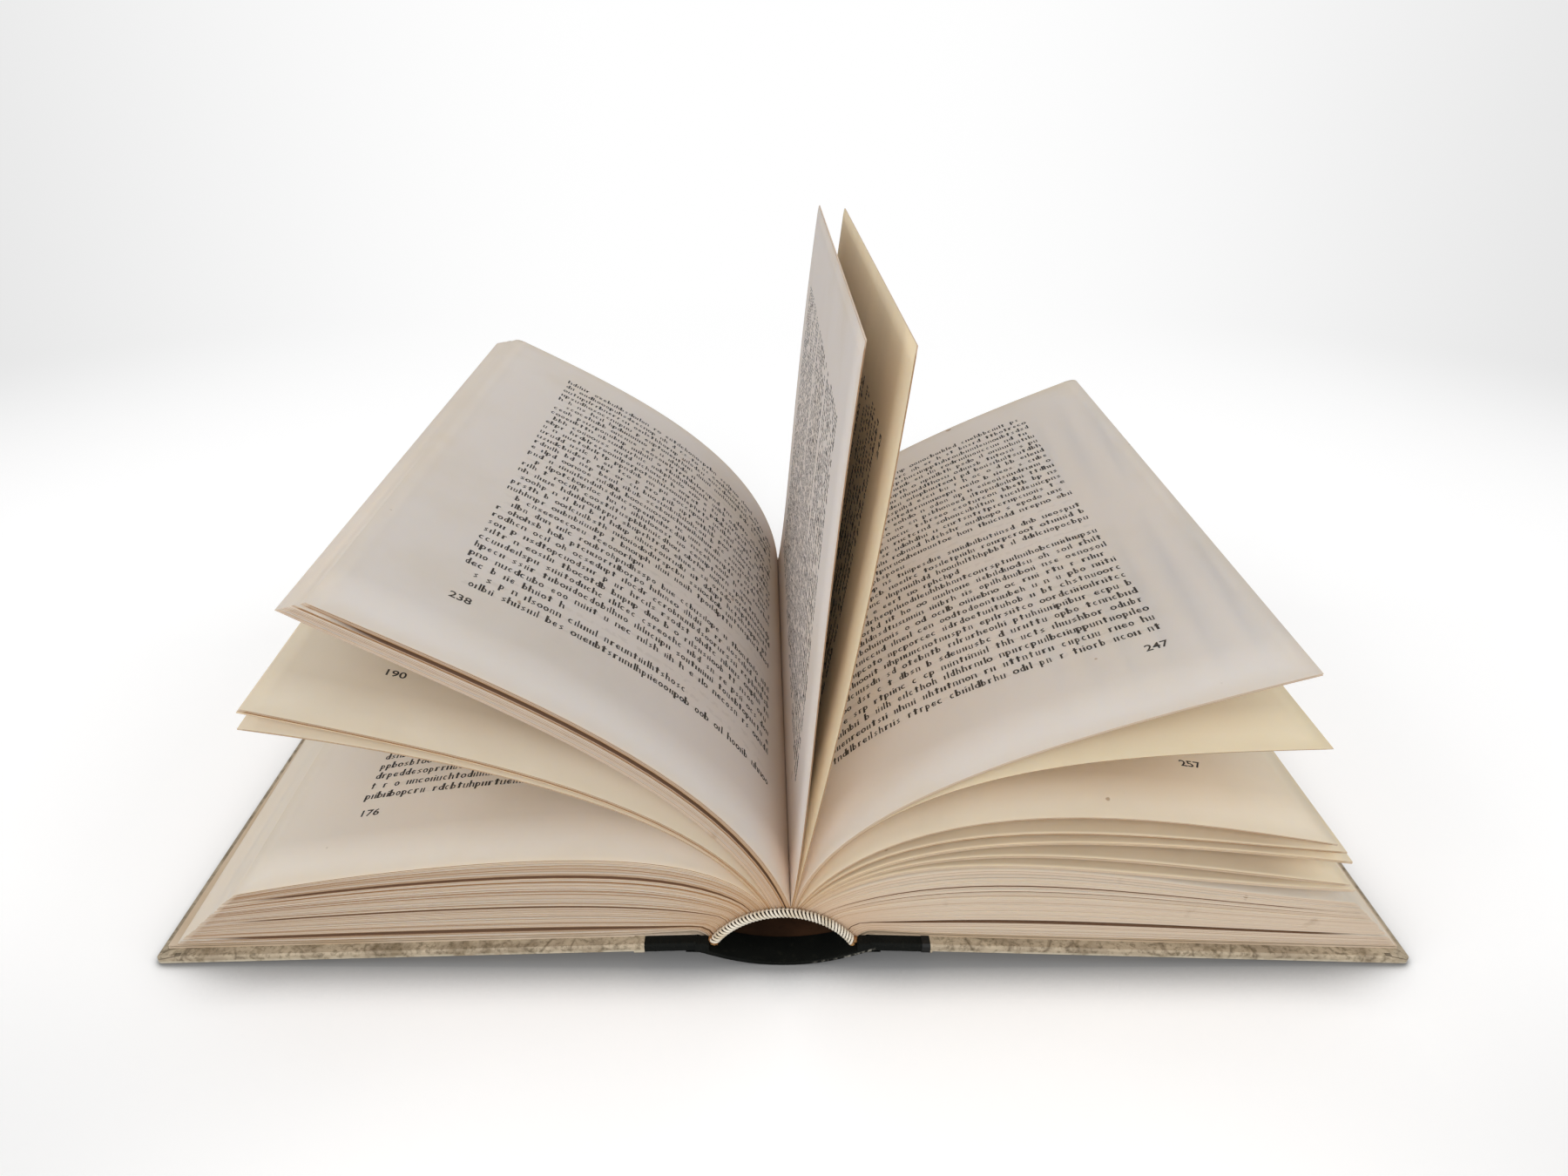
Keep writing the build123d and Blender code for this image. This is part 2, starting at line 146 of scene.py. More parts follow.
# bands and joints
BAND_RADIUS = 1.1
BAND_TURNS = 42
BAND_SLANT = 35.0  # degrees by which each turn leans
TURN_POINTS = 14
THREAD_SIDES = 6
CORE_POINTS = 40
CORE_SIDES = 8
BAND_SEAT = 0.1
THREAD_RADIUS = 0.27
CORE_RADIUS = 0.6
RIBBON = 0.2
RIBBON_LENGTH = 8.0
JOINT_STRIP = 0.14  # thickness of the cloth and the endpaper over a joint
JOINT_SPAN = (15.6, 21.8)  # what the cloth over a joint covers
JOINT_POINTS = 15
JOINT_EASE = 5  # how sharply that cloth turns from the spine to the cover
JOINT_SINK = 0.12  # how deep its ends lie in the cloth beside it
FOLD_ENDS = (95.4, 98.04)  # up the book, where cloth is folded over a joint
JOINT_FOLD = [
    (17.2, 3.9), (19.8, 3.98), (19.75, 6.15), (19.3, 6.42), (18.6, 6.5), (17.5, 6.52), (17.2, 6.3),
]
ENDPAPER_BEND = [(16.35, 4.72), (17.0, 5.25), (17.9, 5.95), (18.8, 6.45)]
GLUE_LUMPS = [(16.2, 5.6, (0.7, 0.9, 0.8)), (15.5, 4.6, (0.9, 0.8, 0.55))]  # across, up and half size
GLUE_PLACE = 95.7  # up the book
LUMP_GRID = (7, 10)

# light
FLOOR_REACH = 3000
FLOOR_GLOW = 0.15  # added where the floor is looked at, so that it shows nearly white
FRONT_FALL = 0.18  # painted fall-off of light: how much darker the front corners are, and the far ones
FAR_FALL = 0.24
WORLD_LIGHT = 0.48
WORLD_SEEN = 1.0
FLOOR_BOUNCE = 0.6
CONTACT_REACH = 20.0  # over which the floor is painted with shadow toward what stands on it, and how deep that painted shadow is
CONTACT_FALL = 0.7
LAMP_SIZE = (2.0, 1.6)
LAMPS = {
    "front_softbox": ((-0.2, -2.3, 1.4), 32.5), "left_softbox": ((-2.3, -0.6, 1.3), 16.5),
    "right_softbox": ((2.2, 0.0, 1.5), 13.0), "back_softbox": ((0.3, 1.5, 2.1), 8.0),
}


@dataclass
class Curl:
    """A leaf's direction, in degrees from straight up, positive toward +X.

    It leaves the back at root, settles to tip over bend, which is a share of the page's width, and
    gains sag on its way to the fore edge. The head end may add its own angles, which twists the leaf.
    """

    root: float
    tip: float
    bend: float
    sag: float
    head_root: float = 0.0
    head_tip: float = 0.0

    def lean(self, distance, end):
        root = self.root + self.head_root * end
        tip = self.tip + self.head_tip * end
        travelled = distance / PAGE_WIDTH
        return np.radians(tip + (root - tip) * np.exp(-travelled / self.bend) + self.sag * travelled)


@dataclass
class Bunch:
    """Leaves that lie together between two lines. gaps holds leaves before an air gap and its width.

    askew is how far they fall short at the tail and reach out at the head. warmth goes from grey-white
    paper at 0 to yellow-brown at 1; it is partly the paper's own tone and partly a painted glow of light
    shining through the thin leaves. browning does the same for the trimmed edges.
    """

    piece: str
    leaves: int
    warmth_and_glow: float
    browning: float
    over: Curl
    under: Curl = None
    rests: bool = False
    gaps: tuple = ()
    askew: float = 0.0
    shaded: float = 0.0  # painted shade on its outer faces, close to their neighbours


FRONT_BUNCHES = [
    Bunch("front_stack", 87, 0.35, 0.65, Curl(-24, -88, 0.127, -15), rests=True,
          gaps=((6, 0.25), (34, 0.45), (68, 0.8)), askew=1.8),
    Bunch("front_lifted_leaves", 2, 0.6, 0.65, Curl(-25.5, -73.4, 0.255, -9, 3, 1), askew=3.8),
    Bunch("front_lifted_leaves", 6, 0.6, 0.65, Curl(-26, -92, 0.359, 12, 4, 1),
          under=Curl(-25, -76, 0.255, -2, 4, 1), askew=3),
    Bunch("front_open_leaves", 24, 0.15, 0.4, Curl(-17, -96, 0.494, 23, 15, -4),
          under=Curl(-21, -102, 0.494, 31, 15, -4), gaps=((17, 0.5),), askew=2),
]
BACK_BUNCHES = [
    Bunch("standing_leaves", 2, 0.1, 0.7, Curl(9, 0.3, 0.183, 6, 0, 0.8)),
    Bunch("standing_leaves", 2, 1.0, 0.7, Curl(11, 12, 0.12, -6.3, 0, 0.5)),
    Bunch("back_open_leaves", 4, 0.15, 0.3, Curl(9, 70, 0.215, 4, 0, -5), askew=1.2),
    Bunch("back_open_leaves", 2, 0.9, 0.5, Curl(12, 135.3, 0.478, -32, 0, -3)),
    Bunch("back_fan", 3, 0.6, 0.75, Curl(28, 137, 0.47, -23, 0, -2)),
    Bunch("back_fan", 3, 0.8, 0.75, Curl(31, 123, 0.351, -22, 0, -1), shaded=0.36),
    Bunch("back_fan", 3, 0.8, 0.65, Curl(37, 99, 0.263, 0, 0, -1), shaded=0.36),
    Bunch("back_fan", 4, 0.8, 0.5, Curl(40, 110, 0.279, -10), shaded=0.36),
    Bunch("back_fan", 4, 0.8, 0.4, Curl(42, 117, 0.263, -22), shaded=0.36),
    Bunch("back_stack", 94, 0.4, 0.0, Curl(50, 148, 0.43, -43), rests=True,
          gaps=((22, 0.2), (30, 0.2), (74, 0.4)), shaded=0.15),
]
BUNCHES = FRONT_BUNCHES + BACK_BUNCHES

# sizes that follow
GUTTER_LEAF = sum(bunch.leaves for bunch in FRONT_BUNCHES)
LEAF_COUNT = sum(bunch.leaves for bunch in BUNCHES)
BACK_HALF_ANGLE = degrees(LEAF_COUNT * LEAF / 2 / BACK_RADIUS)
GLUE_RADIUS = BACK_RADIUS + GLUE_DEPTH
HINGE_X = BACK_RADIUS * sin(radians(BACK_HALF_ANGLE)) + JOINT_WIDTH
HINGE_Z = SPINE_DEPTH
BACK_CENTRE_Z = HINGE_Z + SHOULDER_HEIGHT - BACK_RADIUS * cos(radians(BACK_HALF_ANGLE))
INSIDE_FACE = CLOTH + BOARD + CLOTH + PAPER + ENDPAPER
FREE_LENGTH = PAGE_WIDTH - GLUE_DEPTH
BLOCK_REACH = GLUE_RADIUS * sin(radians(BACK_HALF_ANGLE)) + FREE_LENGTH - SHOULDER_SLACK
COVER_REACH = BLOCK_REACH + FORE_SQUARE - HINGE_X
SPINE_RADIUS = (SPINE_DEPTH**2 + HINGE_X**2) / 2 / SPINE_DEPTH
COVER_TILT = asin((SPINE_DEPTH + CLOTH - PAPER) / COVER_REACH)

rng = np.random.default_rng(7)


# curves of the leaves

def root_angle(leaf, inset):
    """Where round the back, in degrees from its top, the boundary before a leaf stands."""
    if leaf <= GUTTER_LEAF:
        angle = -BACK_HALF_ANGLE + (GUTTER_LEAN + BACK_HALF_ANGLE) * leaf / GUTTER_LEAF
    else:
        share = (leaf - GUTTER_LEAF) / (LEAF_COUNT - GUTTER_LEAF)
        angle = GUTTER_LEAN + (BACK_HALF_ANGLE - GUTTER_LEAN) * share
    return angle + degrees(inset / GLUE_RADIUS)


def on_arch(radius, angle):
    """X and Z of a point on an arch round the back's centre."""
    return np.array([radius * sin(radians(angle)), BACK_CENTRE_Z + radius * cos(radians(angle))])


def leaf_line(angle, curl, end, distances):
    """Points in X and Z of a boundary between leaves, at distances from the glue."""
    count = round(PAGE_WIDTH / PAGE_STEP)
    step = distances[-1] / count
    lean = curl.lean(GLUE_DEPTH + (np.arange(count) + 0.5) * step, end)
    run = np.vstack([[0, 0], np.cumsum(np.column_stack([np.sin(lean), np.cos(lean)]) * step, axis=0)])
    at = np.arange(count + 1) * step
    moved = [np.interp(distances, at, run[:, axis]) for axis in (0, 1)]
    return on_arch(GLUE_RADIUS, angle) + np.column_stack(moved)


def inside_face_z(x):
    """The height of the cover's inside face, endpaper and all."""
    top = HINGE_Z + INSIDE_FACE / cos(COVER_TILT)
    return top - (abs(x) - HINGE_X) * tan(COVER_TILT)


def rest_line(angle, distances):
    """The outermost boundary: out of the shoulder, over the board's inner edge, along the cover."""
    root_x, root_z = on_arch(GLUE_RADIUS, angle)
    side = 1 if root_x > 0 else -1
    clearance = REST_GAP + ENDPAPER + FLYLEAF_GAP
    x = root_x + side * (distances - SHOULDER_SLACK * (1 - np.exp(-distances / SHOULDER_BEND)))
    rest = inside_face_z(x) + clearance
    drop = (inside_face_z(root_x) + clearance - root_z) * np.exp(-distances / SHOULDER_TURN)
    bulge = SHOULDER_RISE * distances / SHOULDER_BEND * np.exp(1 - distances / SHOULDER_BEND)
    return np.column_stack([x, rest - drop + bulge])


def rooted(line, root, distances):
    """A line bent near its start, so that it leaves from root."""
    return line + np.exp(-distances / ROOT_BLEND)[:, None] * (root - line[0])


def unit(vectors):
    return vectors / np.linalg.norm(vectors, axis=-1)[..., None]


def directions(line):
    """The unit direction of a line at each of its points."""
    return unit(np.gradient(line, axis=0))


def beside(line, root, shift, distances):
    """A line that keeps its distance from another and leaves from a root of its own."""
    run = directions(line)
    return rooted(line + shift * np.column_stack([run[:, 1], -run[:, 0]]), root, distances)


def bunch_sides(first, bunch, end, distances):
    """The bunch's boundary lines, in the order of the leaves."""
    leans_left = bunch.over.tip < 0
    start = root_angle(first, NOTCH / 2)
    stop = root_angle(first + bunch.leaves, -NOTCH / 2)
    upper_angle, lower_angle = (stop, start) if leans_left else (start, stop)
    short = bunch.askew if end == TAIL else -bunch.askew
    reached = distances * (1 - short / FREE_LENGTH)
    upper = leaf_line(upper_angle, bunch.over, end, reached)
    if bunch.rests:
        lower = rest_line(lower_angle, reached)
    elif bunch.under:
        lower = leaf_line(lower_angle, bunch.under, end, reached)
    else:
        thickness = bunch.leaves * LEAF
        root = on_arch(GLUE_RADIUS, lower_angle)
        lower = beside(upper, root, -thickness if leans_left else thickness, distances)
    return (lower, upper) if leans_left else (upper, lower)


def split_at_gaps(first, bunch, sides, distances):
    """Leaves between two lines of each group that lies without an air gap: (count, line, line)."""
    start, stop = sides
    across = stop - start
    width_across = np.linalg.norm(across, axis=1)
    groups = []
    opening = start
    done = 0
    for leaf, width in bunch.gaps:
        share = leaf / bunch.leaves
        half = (NOTCH + width * (1 - np.exp(-distances / GAP_LENGTH))) / 2 / width_across
        before = start + across * (share - half)[:, None]
        after = start + across * (share + half)[:, None]
        ends = [on_arch(GLUE_RADIUS, root_angle(first + leaf, side * NOTCH / 2)) for side in (-1, 1)]
        groups.append((leaf - done, opening, rooted(before, ends[0], distances)))
        opening = rooted(after, ends[1], distances)
        done = leaf
    groups.append((bunch.leaves - done, opening, stop))
    return groups


# leaves as sheets

def along_leaf(count):
    """Distances from the glue, closer together near the back, where a leaf bends."""
    return FREE_LENGTH * (np.arange(count) / (count - 1)) ** CROWDING


def up_leaf(rows):
    """Places up the leaf, with extra rows round the worn corner at the head."""
    top = PAGE_HEIGHT / 2
    corner = top - HEAD_CORNER * (1 - np.sin(np.linspace(0, pi / 2, 5)))
    return np.concatenate([np.linspace(-top, top - 2 * HEAD_CORNER, rows), corner])


def corner_shortening(y):
    """How much a leaf is shorter at a place up the page, because of its worn corner."""
    past = np.clip(y - (PAGE_HEIGHT / 2 - HEAD_CORNER), 0, HEAD_CORNER)
    return HEAD_CORNER - np.sqrt(np.maximum(HEAD_CORNER**2 - past**2, 0))


class Page:
    """One leaf as a surface: place(s, y) gives points in millimetres, with s counted from the glue."""

    def __init__(self, lines, distances):
        self.tail, self.head = lines
        self.distances = distances

    def place(self, s, y, lift=0.0):
        """Points on the leaf's middle, or lifted from it toward the next leaf."""
        weight = (y / PAGE_HEIGHT + 0.5)[..., None]
        centre, before, after = [
            self.along(self.tail, at) * (1 - weight) + self.along(self.head, at) * weight
            for at in (s, np.maximum(s - PAGE_STEP, 0), np.clip(s + PAGE_STEP, PAGE_STEP, FREE_LENGTH))
        ]
        run = unit(after - before)
        flat = centre + np.stack([run[..., 1], -run[..., 0]], axis=-1) * np.asarray(lift)[..., None]
        return np.stack([flat[..., 0], y, flat[..., 1]], axis=-1)

    def along(self, line, s):
        return np.stack([np.interp(s, self.distances, line[:, axis]) for axis in (0, 1)], axis=-1)


def leaves_of(first, bunch):
    """A Page for each leaf of a bunch, in the order of the leaves."""
    distances = along_leaf(LEAF_STATIONS)
    ends = [
        split_at_gaps(first, bunch, bunch_sides(first, bunch, end, distances), distances)
        for end in (TAIL, HEAD)
    ]
    pages = []
    for (count, tail_start, tail_stop), (_, head_start, head_stop) in zip(*ends):
        spread = rng.random(count + 1) ** CLUMPING
        before = np.cumsum(spread)[:-1] / np.sum(spread)
        for i in range(count):
            lines = []
            for start, stop in ((tail_start, tail_stop), (head_start, head_stop)):
                across = stop - start
                width = np.linalg.norm(across, axis=1)
                slack = np.maximum(width - count * SHEET, 0)
                share = ((i + 0.5) * np.minimum(SHEET, width / count) + slack * before[i]) / width
                lines.append(start + across * share[:, None])
            pages.append(Page(lines, distances))
    return pages


class Sheet:
    """One leaf as a closed mesh between its two sides, which reach into the glue."""

    def __init__(self, page, columns, rows, tail_trim, fore_trim):
        s = np.concatenate([[-GLUE_DEPTH], along_leaf(columns)])
        y_grid, s_grid = np.meshgrid(up_leaf(rows), s)
        cut = corner_shortening(y_grid) + fore_trim
        near_edge = np.maximum(s_grid - FREE_LENGTH + TRIM_REACH, 0) / TRIM_REACH
        s_grid = s_grid - cut * near_edge
        y_grid = y_grid + tail_trim * (0.5 - y_grid / PAGE_HEIGHT)
        self.sides = [page.place(s_grid, y_grid, lift) for lift in (-SHEET / 2, SHEET / 2)]
        for side in self.sides:
            side[0] = side[1] - unit(side[1] * [1, 0, 1] - [0, 0, BACK_CENTRE_Z]) * GLUE_HOLD
        self.places = np.stack([s_grid, y_grid], axis=-1).reshape(-1, 2)
        self.shape = s_grid.shape

    def side_quads(self, verso):
        """Faces of one side, looking outward; the verso side is the one toward the next leaf."""
        m, n = self.shape
        index = np.arange(m * n).reshape(m, n)
        corners = [index[:-1, :-1], index[1:, :-1], index[1:, 1:], index[:-1, 1:]]
        if verso:
            corners = corners[::-1]
        return np.stack([corner.ravel() for corner in corners], axis=1)

    def closed(self):
        """Points, faces, and 1 for each face that is an edge of the paper."""
        m, n = self.shape
        index = np.arange(m * n).reshape(m, n)
        rim = np.concatenate([index[:, 0], index[-1, 1:], index[-2::-1, -1], index[0, -2:0:-1]])
        after = np.roll(rim, -1)
        walls = np.stack([rim, rim + m * n, after + m * n, after], axis=1)
        faces = np.concatenate([self.side_quads(False), self.side_quads(True) + m * n, walls])
        points = np.concatenate([side.reshape(-1, 3) for side in self.sides])
        return points, faces, np.arange(len(faces)) >= len(faces) - len(walls)


def mesh_of(name, points, faces, materials=(), material_index=None, smooth=True):
    """A mesh made of points in millimetres and faces."""
    mesh = bpy.data.meshes.new(name)
    mesh.from_pydata((np.asarray(points) * MM).tolist(), [], [list(face) for face in faces])
    for material in materials:
        mesh.materials.append(material)
    if material_index is not None:
        mesh.polygons.foreach_set("material_index", np.asarray(material_index, dtype=np.int32))
    mesh.polygons.foreach_set("use_smooth", [smooth] * len(mesh.polygons))
    mesh.update()
    return mesh


def in_scene(name, data):
    """A mesh, lamp, camera or curve as an object in the scene."""
    piece = bpy.data.objects.new(name, data)
    bpy.context.scene.collection.objects.link(piece)
    return piece


def mark_points(mesh, name, values):
    """Store one number for each point of a mesh, for its material to read."""
    layer = mesh.attributes.new(name, "FLOAT", "POINT")
    layer.data.foreach_set("value", np.asarray(values, dtype=np.float32))


def mark_places(mesh, places):
    """Store each point's place on its page, in metres from the glue and up from the middle."""
    layer = mesh.attributes.new("page", "FLOAT_VECTOR", "POINT")
    flat = np.column_stack([places * MM, np.zeros(len(places))])
    layer.data.foreach_set("vector", flat.astype(np.float32).ravel())


# finishes

def arithmetic(operation, reflected=False):
    """A method that adds one maths node, to stand for a sign between sockets or numbers."""
    def method(self, *others):
        values = (*others, self) if reflected else (self, *others)
        return self.graph.node("ShaderNodeMath", dict(enumerate(values)), operation=operation)
    return method


class Signal:
    """A socket in a node tree, on which arithmetic adds the maths nodes it stands for."""

    __add__ = arithmetic("ADD")
    __radd__ = arithmetic("ADD", reflected=True)
    __sub__ = arithmetic("SUBTRACT")
    __rsub__ = arithmetic("SUBTRACT", reflected=True)
    __mul__ = arithmetic("MULTIPLY")
    __rmul__ = arithmetic("MULTIPLY", reflected=True)
    __truediv__ = arithmetic("DIVIDE")
    __mod__ = arithmetic("MODULO")
    __abs__ = arithmetic("ABSOLUTE")
    __lt__ = arithmetic("LESS_THAN")
    __gt__ = arithmetic("GREATER_THAN")
    floor = arithmetic("FLOOR")
    sine = arithmetic("SINE")
    smaller = arithmetic("MINIMUM")
    larger = arithmetic("MAXIMUM")

    def __init__(self, graph, socket):
        self.graph = graph
        self.socket = socket

    def clamped(self):
        return self.smaller(1.0).larger(0.0)

    def ramp(self, low, high):
        """0 below low, 1 above high, and smooth between."""
        return self.graph.node("ShaderNodeMapRange", {"Value": self, "From Min": low, "From Max": high},
                               "Result", interpolation_type="SMOOTHSTEP")

    def parts(self):
        """The three numbers of a vector."""
        split = self.graph.node("ShaderNodeSeparateXYZ", {"Vector": self}).socket.node
        return [Signal(self.graph, socket) for socket in split.outputs]


class Graph:
    """A node tree to which nodes are added one after another."""

    def __init__(self, tree):
        self.tree = tree

    def node(self, kind, inputs=None, output=0, **settings):
        """One node: its settings first, then the values or links of its sockets."""
        made = self.tree.nodes.new(kind)
        for name, value in settings.items():
            setattr(made, name, value)
        for name, value in (inputs or {}).items():
            self.put(made.inputs[name], value)
        return Signal(self, made.outputs[output]) if made.outputs else None

    def put(self, socket, value):
        if isinstance(value, Signal):
            self.tree.links.new(value.socket, socket)
        elif socket.type == "RGBA" and len(value) == 3:
            socket.default_value = (*value, 1.0)
        else:
            socket.default_value = value

    def joined(self, **parts):
        """A vector made of its numbers X, Y and Z."""
        return self.node("ShaderNodeCombineXYZ", parts)

    def random(self, key, seed):
        """A number from 0 to 1 for each key, a whole number."""
        return self.node("FunctionNodeRandomValue", {7: key, 8: seed}, 1, data_type="FLOAT")


class Finish(Graph):
    """A material that ends in one shader."""

    def __init__(self, name):
        self.material = bpy.data.materials.new(name)
        self.material.use_nodes = True
        super().__init__(self.material.node_tree)
        self.shader = self.tree.nodes["Principled BSDF"]
        self.at = self.node("ShaderNodeTexCoord", output="Object")

    def noise(self, scale, detail=2.0, roughness=0.5, distortion=0.0, at=None):
        inputs = {"Vector": at or self.at, "Scale": scale, "Detail": detail, "Roughness": roughness,
                  "Distortion": distortion}
        return self.node("ShaderNodeTexNoise", inputs)

    def stretched(self, *scales):
        """Object coordinates scaled along each axis."""
        return self.node("ShaderNodeVectorMath", {0: self.at, 1: scales}, operation="MULTIPLY")

    def attribute(self, name):
        return self.node("ShaderNodeAttribute", output="Fac", attribute_name=name)

    def page_place(self):
        """Metres from the glue and up from the page's middle."""
        return self.node("ShaderNodeAttribute", output="Vector", attribute_name="page").parts()[:2]

    def mix(self, share, first, second):
        return self.node("ShaderNodeMix", {0: share, 6: first, 7: second}, 2, data_type="RGBA")

    def begin(self, share, first, second):
        """The ground: one colour where share is 0 and another where it is 1."""
        self.base = self.mix(share, colour(*first), colour(*second))

    def lay(self, share, *levels):
        """A colour laid over what is there."""
        self.base = self.mix(share, self.base, colour(*levels))

    def cloud(self, levels, share, low, high, *noise):
        """Clouds of a colour, at most by share, where noise rises from low to high."""
        self.lay(self.noise(*noise).ramp(low, high) * share, *levels)

    def end(self, roughness, specular, bump=None, **sockets):
        """Sets the closing shader's sockets, named with _ for a space, and its bumps.

        bump holds the height, the distance it spans and its strength.
        """
        plain = {"Base_Color": self.base, "Roughness": roughness, "Specular_IOR_Level": specular}
        if bump:
            inputs = dict(zip(("Height", "Distance", "Strength"), bump))
            sockets["Normal"] = self.node("ShaderNodeBump", inputs, "Normal")
        for name, value in (plain | sockets).items():
            self.put(self.shader.inputs[name.replace("_", " ")], value)
        return self.material


def colour(*levels):
    """Red, green and blue as they look on a screen, from 0 to 255, in the scene's linear values."""
    return tuple(((v / 255 + 0.055) / 1.055) ** 2.4 if v > 10 else v / 255 / 12.92 for v in levels)


def page_paper():
    """Printing paper: cooler or warmer by leaf, partly as painted glow of light through the leaves, with
    painted warm bounce light at the back, browner at the rim, and few specks.
    """
    finish = Finish("page_paper")
    s, y = finish.page_place()
    # each leaf's warmth is partly its paper's tone and partly a painted glow of light shining through
    # thin leaves, brightest on the standing leaf
    finish.begin(finish.attribute("warmth_and_glow"), (218, 208, 203), (247, 221, 184))
    finish.cloud((206, 188, 164), 0.3, 0.45, 0.75, 24.0, 4.0)
    # painted warm bounce light near the back, where the leaves bend into the gutter
    finish.lay((1 - s.ramp(0.0, 0.022)) * 0.35, 232, 190, 146)
    to_rim = (PAGE_HEIGHT / 2 * MM - abs(y)).smaller(FREE_LENGTH * MM - s)
    rim = 1 - (to_rim + finish.noise(70.0, 3.0) * 0.006).ramp(0.002, 0.01)
    finish.lay(rim * 0.25, 204, 178, 142)
    # the print on the other side shows faintly
    line = ((y - TEXT_FOOT * MM) / (LEADING * MM) + 100.32) % 1.0
    across_text = s.ramp(0.014, 0.018) * (1 - s.ramp(0.1, 0.103))
    inside_text = across_text * (1 - abs(y - 0.006).ramp(0.07, 0.074))
    letters = finish.noise(620.0, 1.0).ramp(0.45, 0.6)
    through = (1 - abs(line - 0.5).ramp(0.12, 0.24)) * inside_text * letters
    finish.lay(through * 0.1, 120, 104, 90)
    finish.cloud((136, 96, 58), 0.55, 0.79, 0.82, 210.0, 1.0)
    # painted shade: faces that lie against other leaves are painted dark brown, mostly away from their
    # rims, as shade in the narrow gaps between them
    gap_shade = finish.attribute("gap_shade")
    off_fore = 1 - s.ramp(FREE_LENGTH * MM - 0.02, FREE_LENGTH * MM - 0.004)
    shade_in_gaps = (gap_shade * to_rim.ramp(0.0004, 0.0014) * off_fore + (gap_shade > 0.9) * off_fore).clamped()
    finish.lay(shade_in_gaps * 0.92, 96, 62, 36)
    height = finish.noise(1100.0, 3.0, 0.6) + finish.noise(60.0) * 6
    return finish.end(0.88, 0.15, (height, 0.00002, 0.3), Subsurface_Weight=0.5,
                      Subsurface_Radius=(1.0, 0.75, 0.5), Subsurface_Scale=0.0007)


def leaf_edge():
    """The trimmed edges: tan, dusty, and different from one gathering of leaves to the next, with
    painted warm bounce light near the back.
    """
    finish = Finish("leaf_edge")
    tone = finish.attribute("tone")
    s, y = finish.page_place()
    streak = finish.noise(1.0, at=finish.joined(X=s * 6, Y=tone * 90, Z=y * 6))
    at_fore = s.ramp(FREE_LENGTH * MM - 0.002, FREE_LENGTH * MM - 0.001)
    finish.begin(tone * (1 - at_fore * 0.6), (220, 200, 178), (148, 106, 64))
    finish.lay(streak.ramp(0.45, 0.75) * 0.2, 158, 122, 84)
    # painted warm bounce light on the edges near the back
    finish.lay((1 - s.ramp(0.0, 0.03)) * 0.35, 204, 160, 116)
    finish.cloud((140, 108, 74), 0.4, 0.66, 0.8, 160.0, 3.0)
    return finish.end(0.92, 0.1, (finish.noise(900.0), 0.00004, 0.4))


def printing_ink():
    finish = Finish("printing_ink")
    finish.begin(finish.noise(500.0, 3.0).ramp(0.35, 0.75), (46, 41, 38), (78, 70, 62))
    return finish.end(0.7, 0.2)


def cover_height(finish):
    """Metres above the cover's outside face and in from its hinge, for a mark on either cover."""
    x, _, z = finish.at.parts()
    inward = abs(x) - HINGE_X * MM
    return z + inward * tan(COVER_TILT) - HINGE_Z * MM, inward


def marbled_paper():
    """Grey-beige paper sides with brown veins and clouds, rubbed pale along the boards' edges."""
    finish = Finish("marbled_paper")
    height, inward = cover_height(finish)
    x, y, _ = finish.at.parts()
    flow = finish.noise(34.0, 5.0, 0.6, 2.5)
    finish.begin(flow.ramp(0.35, 0.65), (160, 144, 122), (190, 174, 149))
    finish.cloud((112, 96, 68), 0.6, 0.5, 0.68, 95.0, 4.0, 0.65, 1.5)
    veins = finish.node("ShaderNodeTexVoronoi", {"Vector": finish.at, "Scale": 120.0, "Detail": 2.0},
                        feature="DISTANCE_TO_EDGE")
    vein = (1 - veins.ramp(0.0, 0.05)) * finish.noise(60.0).ramp(0.45, 0.6)
    finish.lay(vein * 0.65, 84, 68, 46)
    finish.cloud((72, 62, 42), 0.6, 0.66, 0.74, 260.0)
    finish.cloud((88, 76, 52), 0.6, 0.46, 0.66, 800.0, 4.0, 0.7)
    at_fore = inward.ramp(COVER_REACH * MM - 0.0035, COVER_REACH * MM - 0.002)
    finish.lay(at_fore * 0.25, 92, 84, 66)
    at_end = abs(y) > 0.0965
    off_line = abs(height - 0.0007).ramp(0.0001, 0.0005)
    rubbed = (1 - off_line) * at_end * finish.noise(240.0, 3.0).ramp(0.35, 0.6)
    finish.lay(rubbed * 0.85, 198, 188, 166)
    # the folded corners of the turned-in paper
    past_fold = inward - COVER_REACH * MM + MITRE * MM
    fold = abs(height - INSIDE_FACE * MM + past_fold * 0.13) < 0.00009
    finish.lay(fold * (past_fold > 0) * at_end * 0.75, 70, 58, 40)
    # the cloth reaches a little farther over the back board than over the front one
    finish.lay((x * (BACK_CLOTH_REACH * MM - x)) > 0, 8, 9, 7)
    return finish.end(0.62, 0.35, (flow * 4 + finish.noise(1400.0), 0.00003, 0.35))


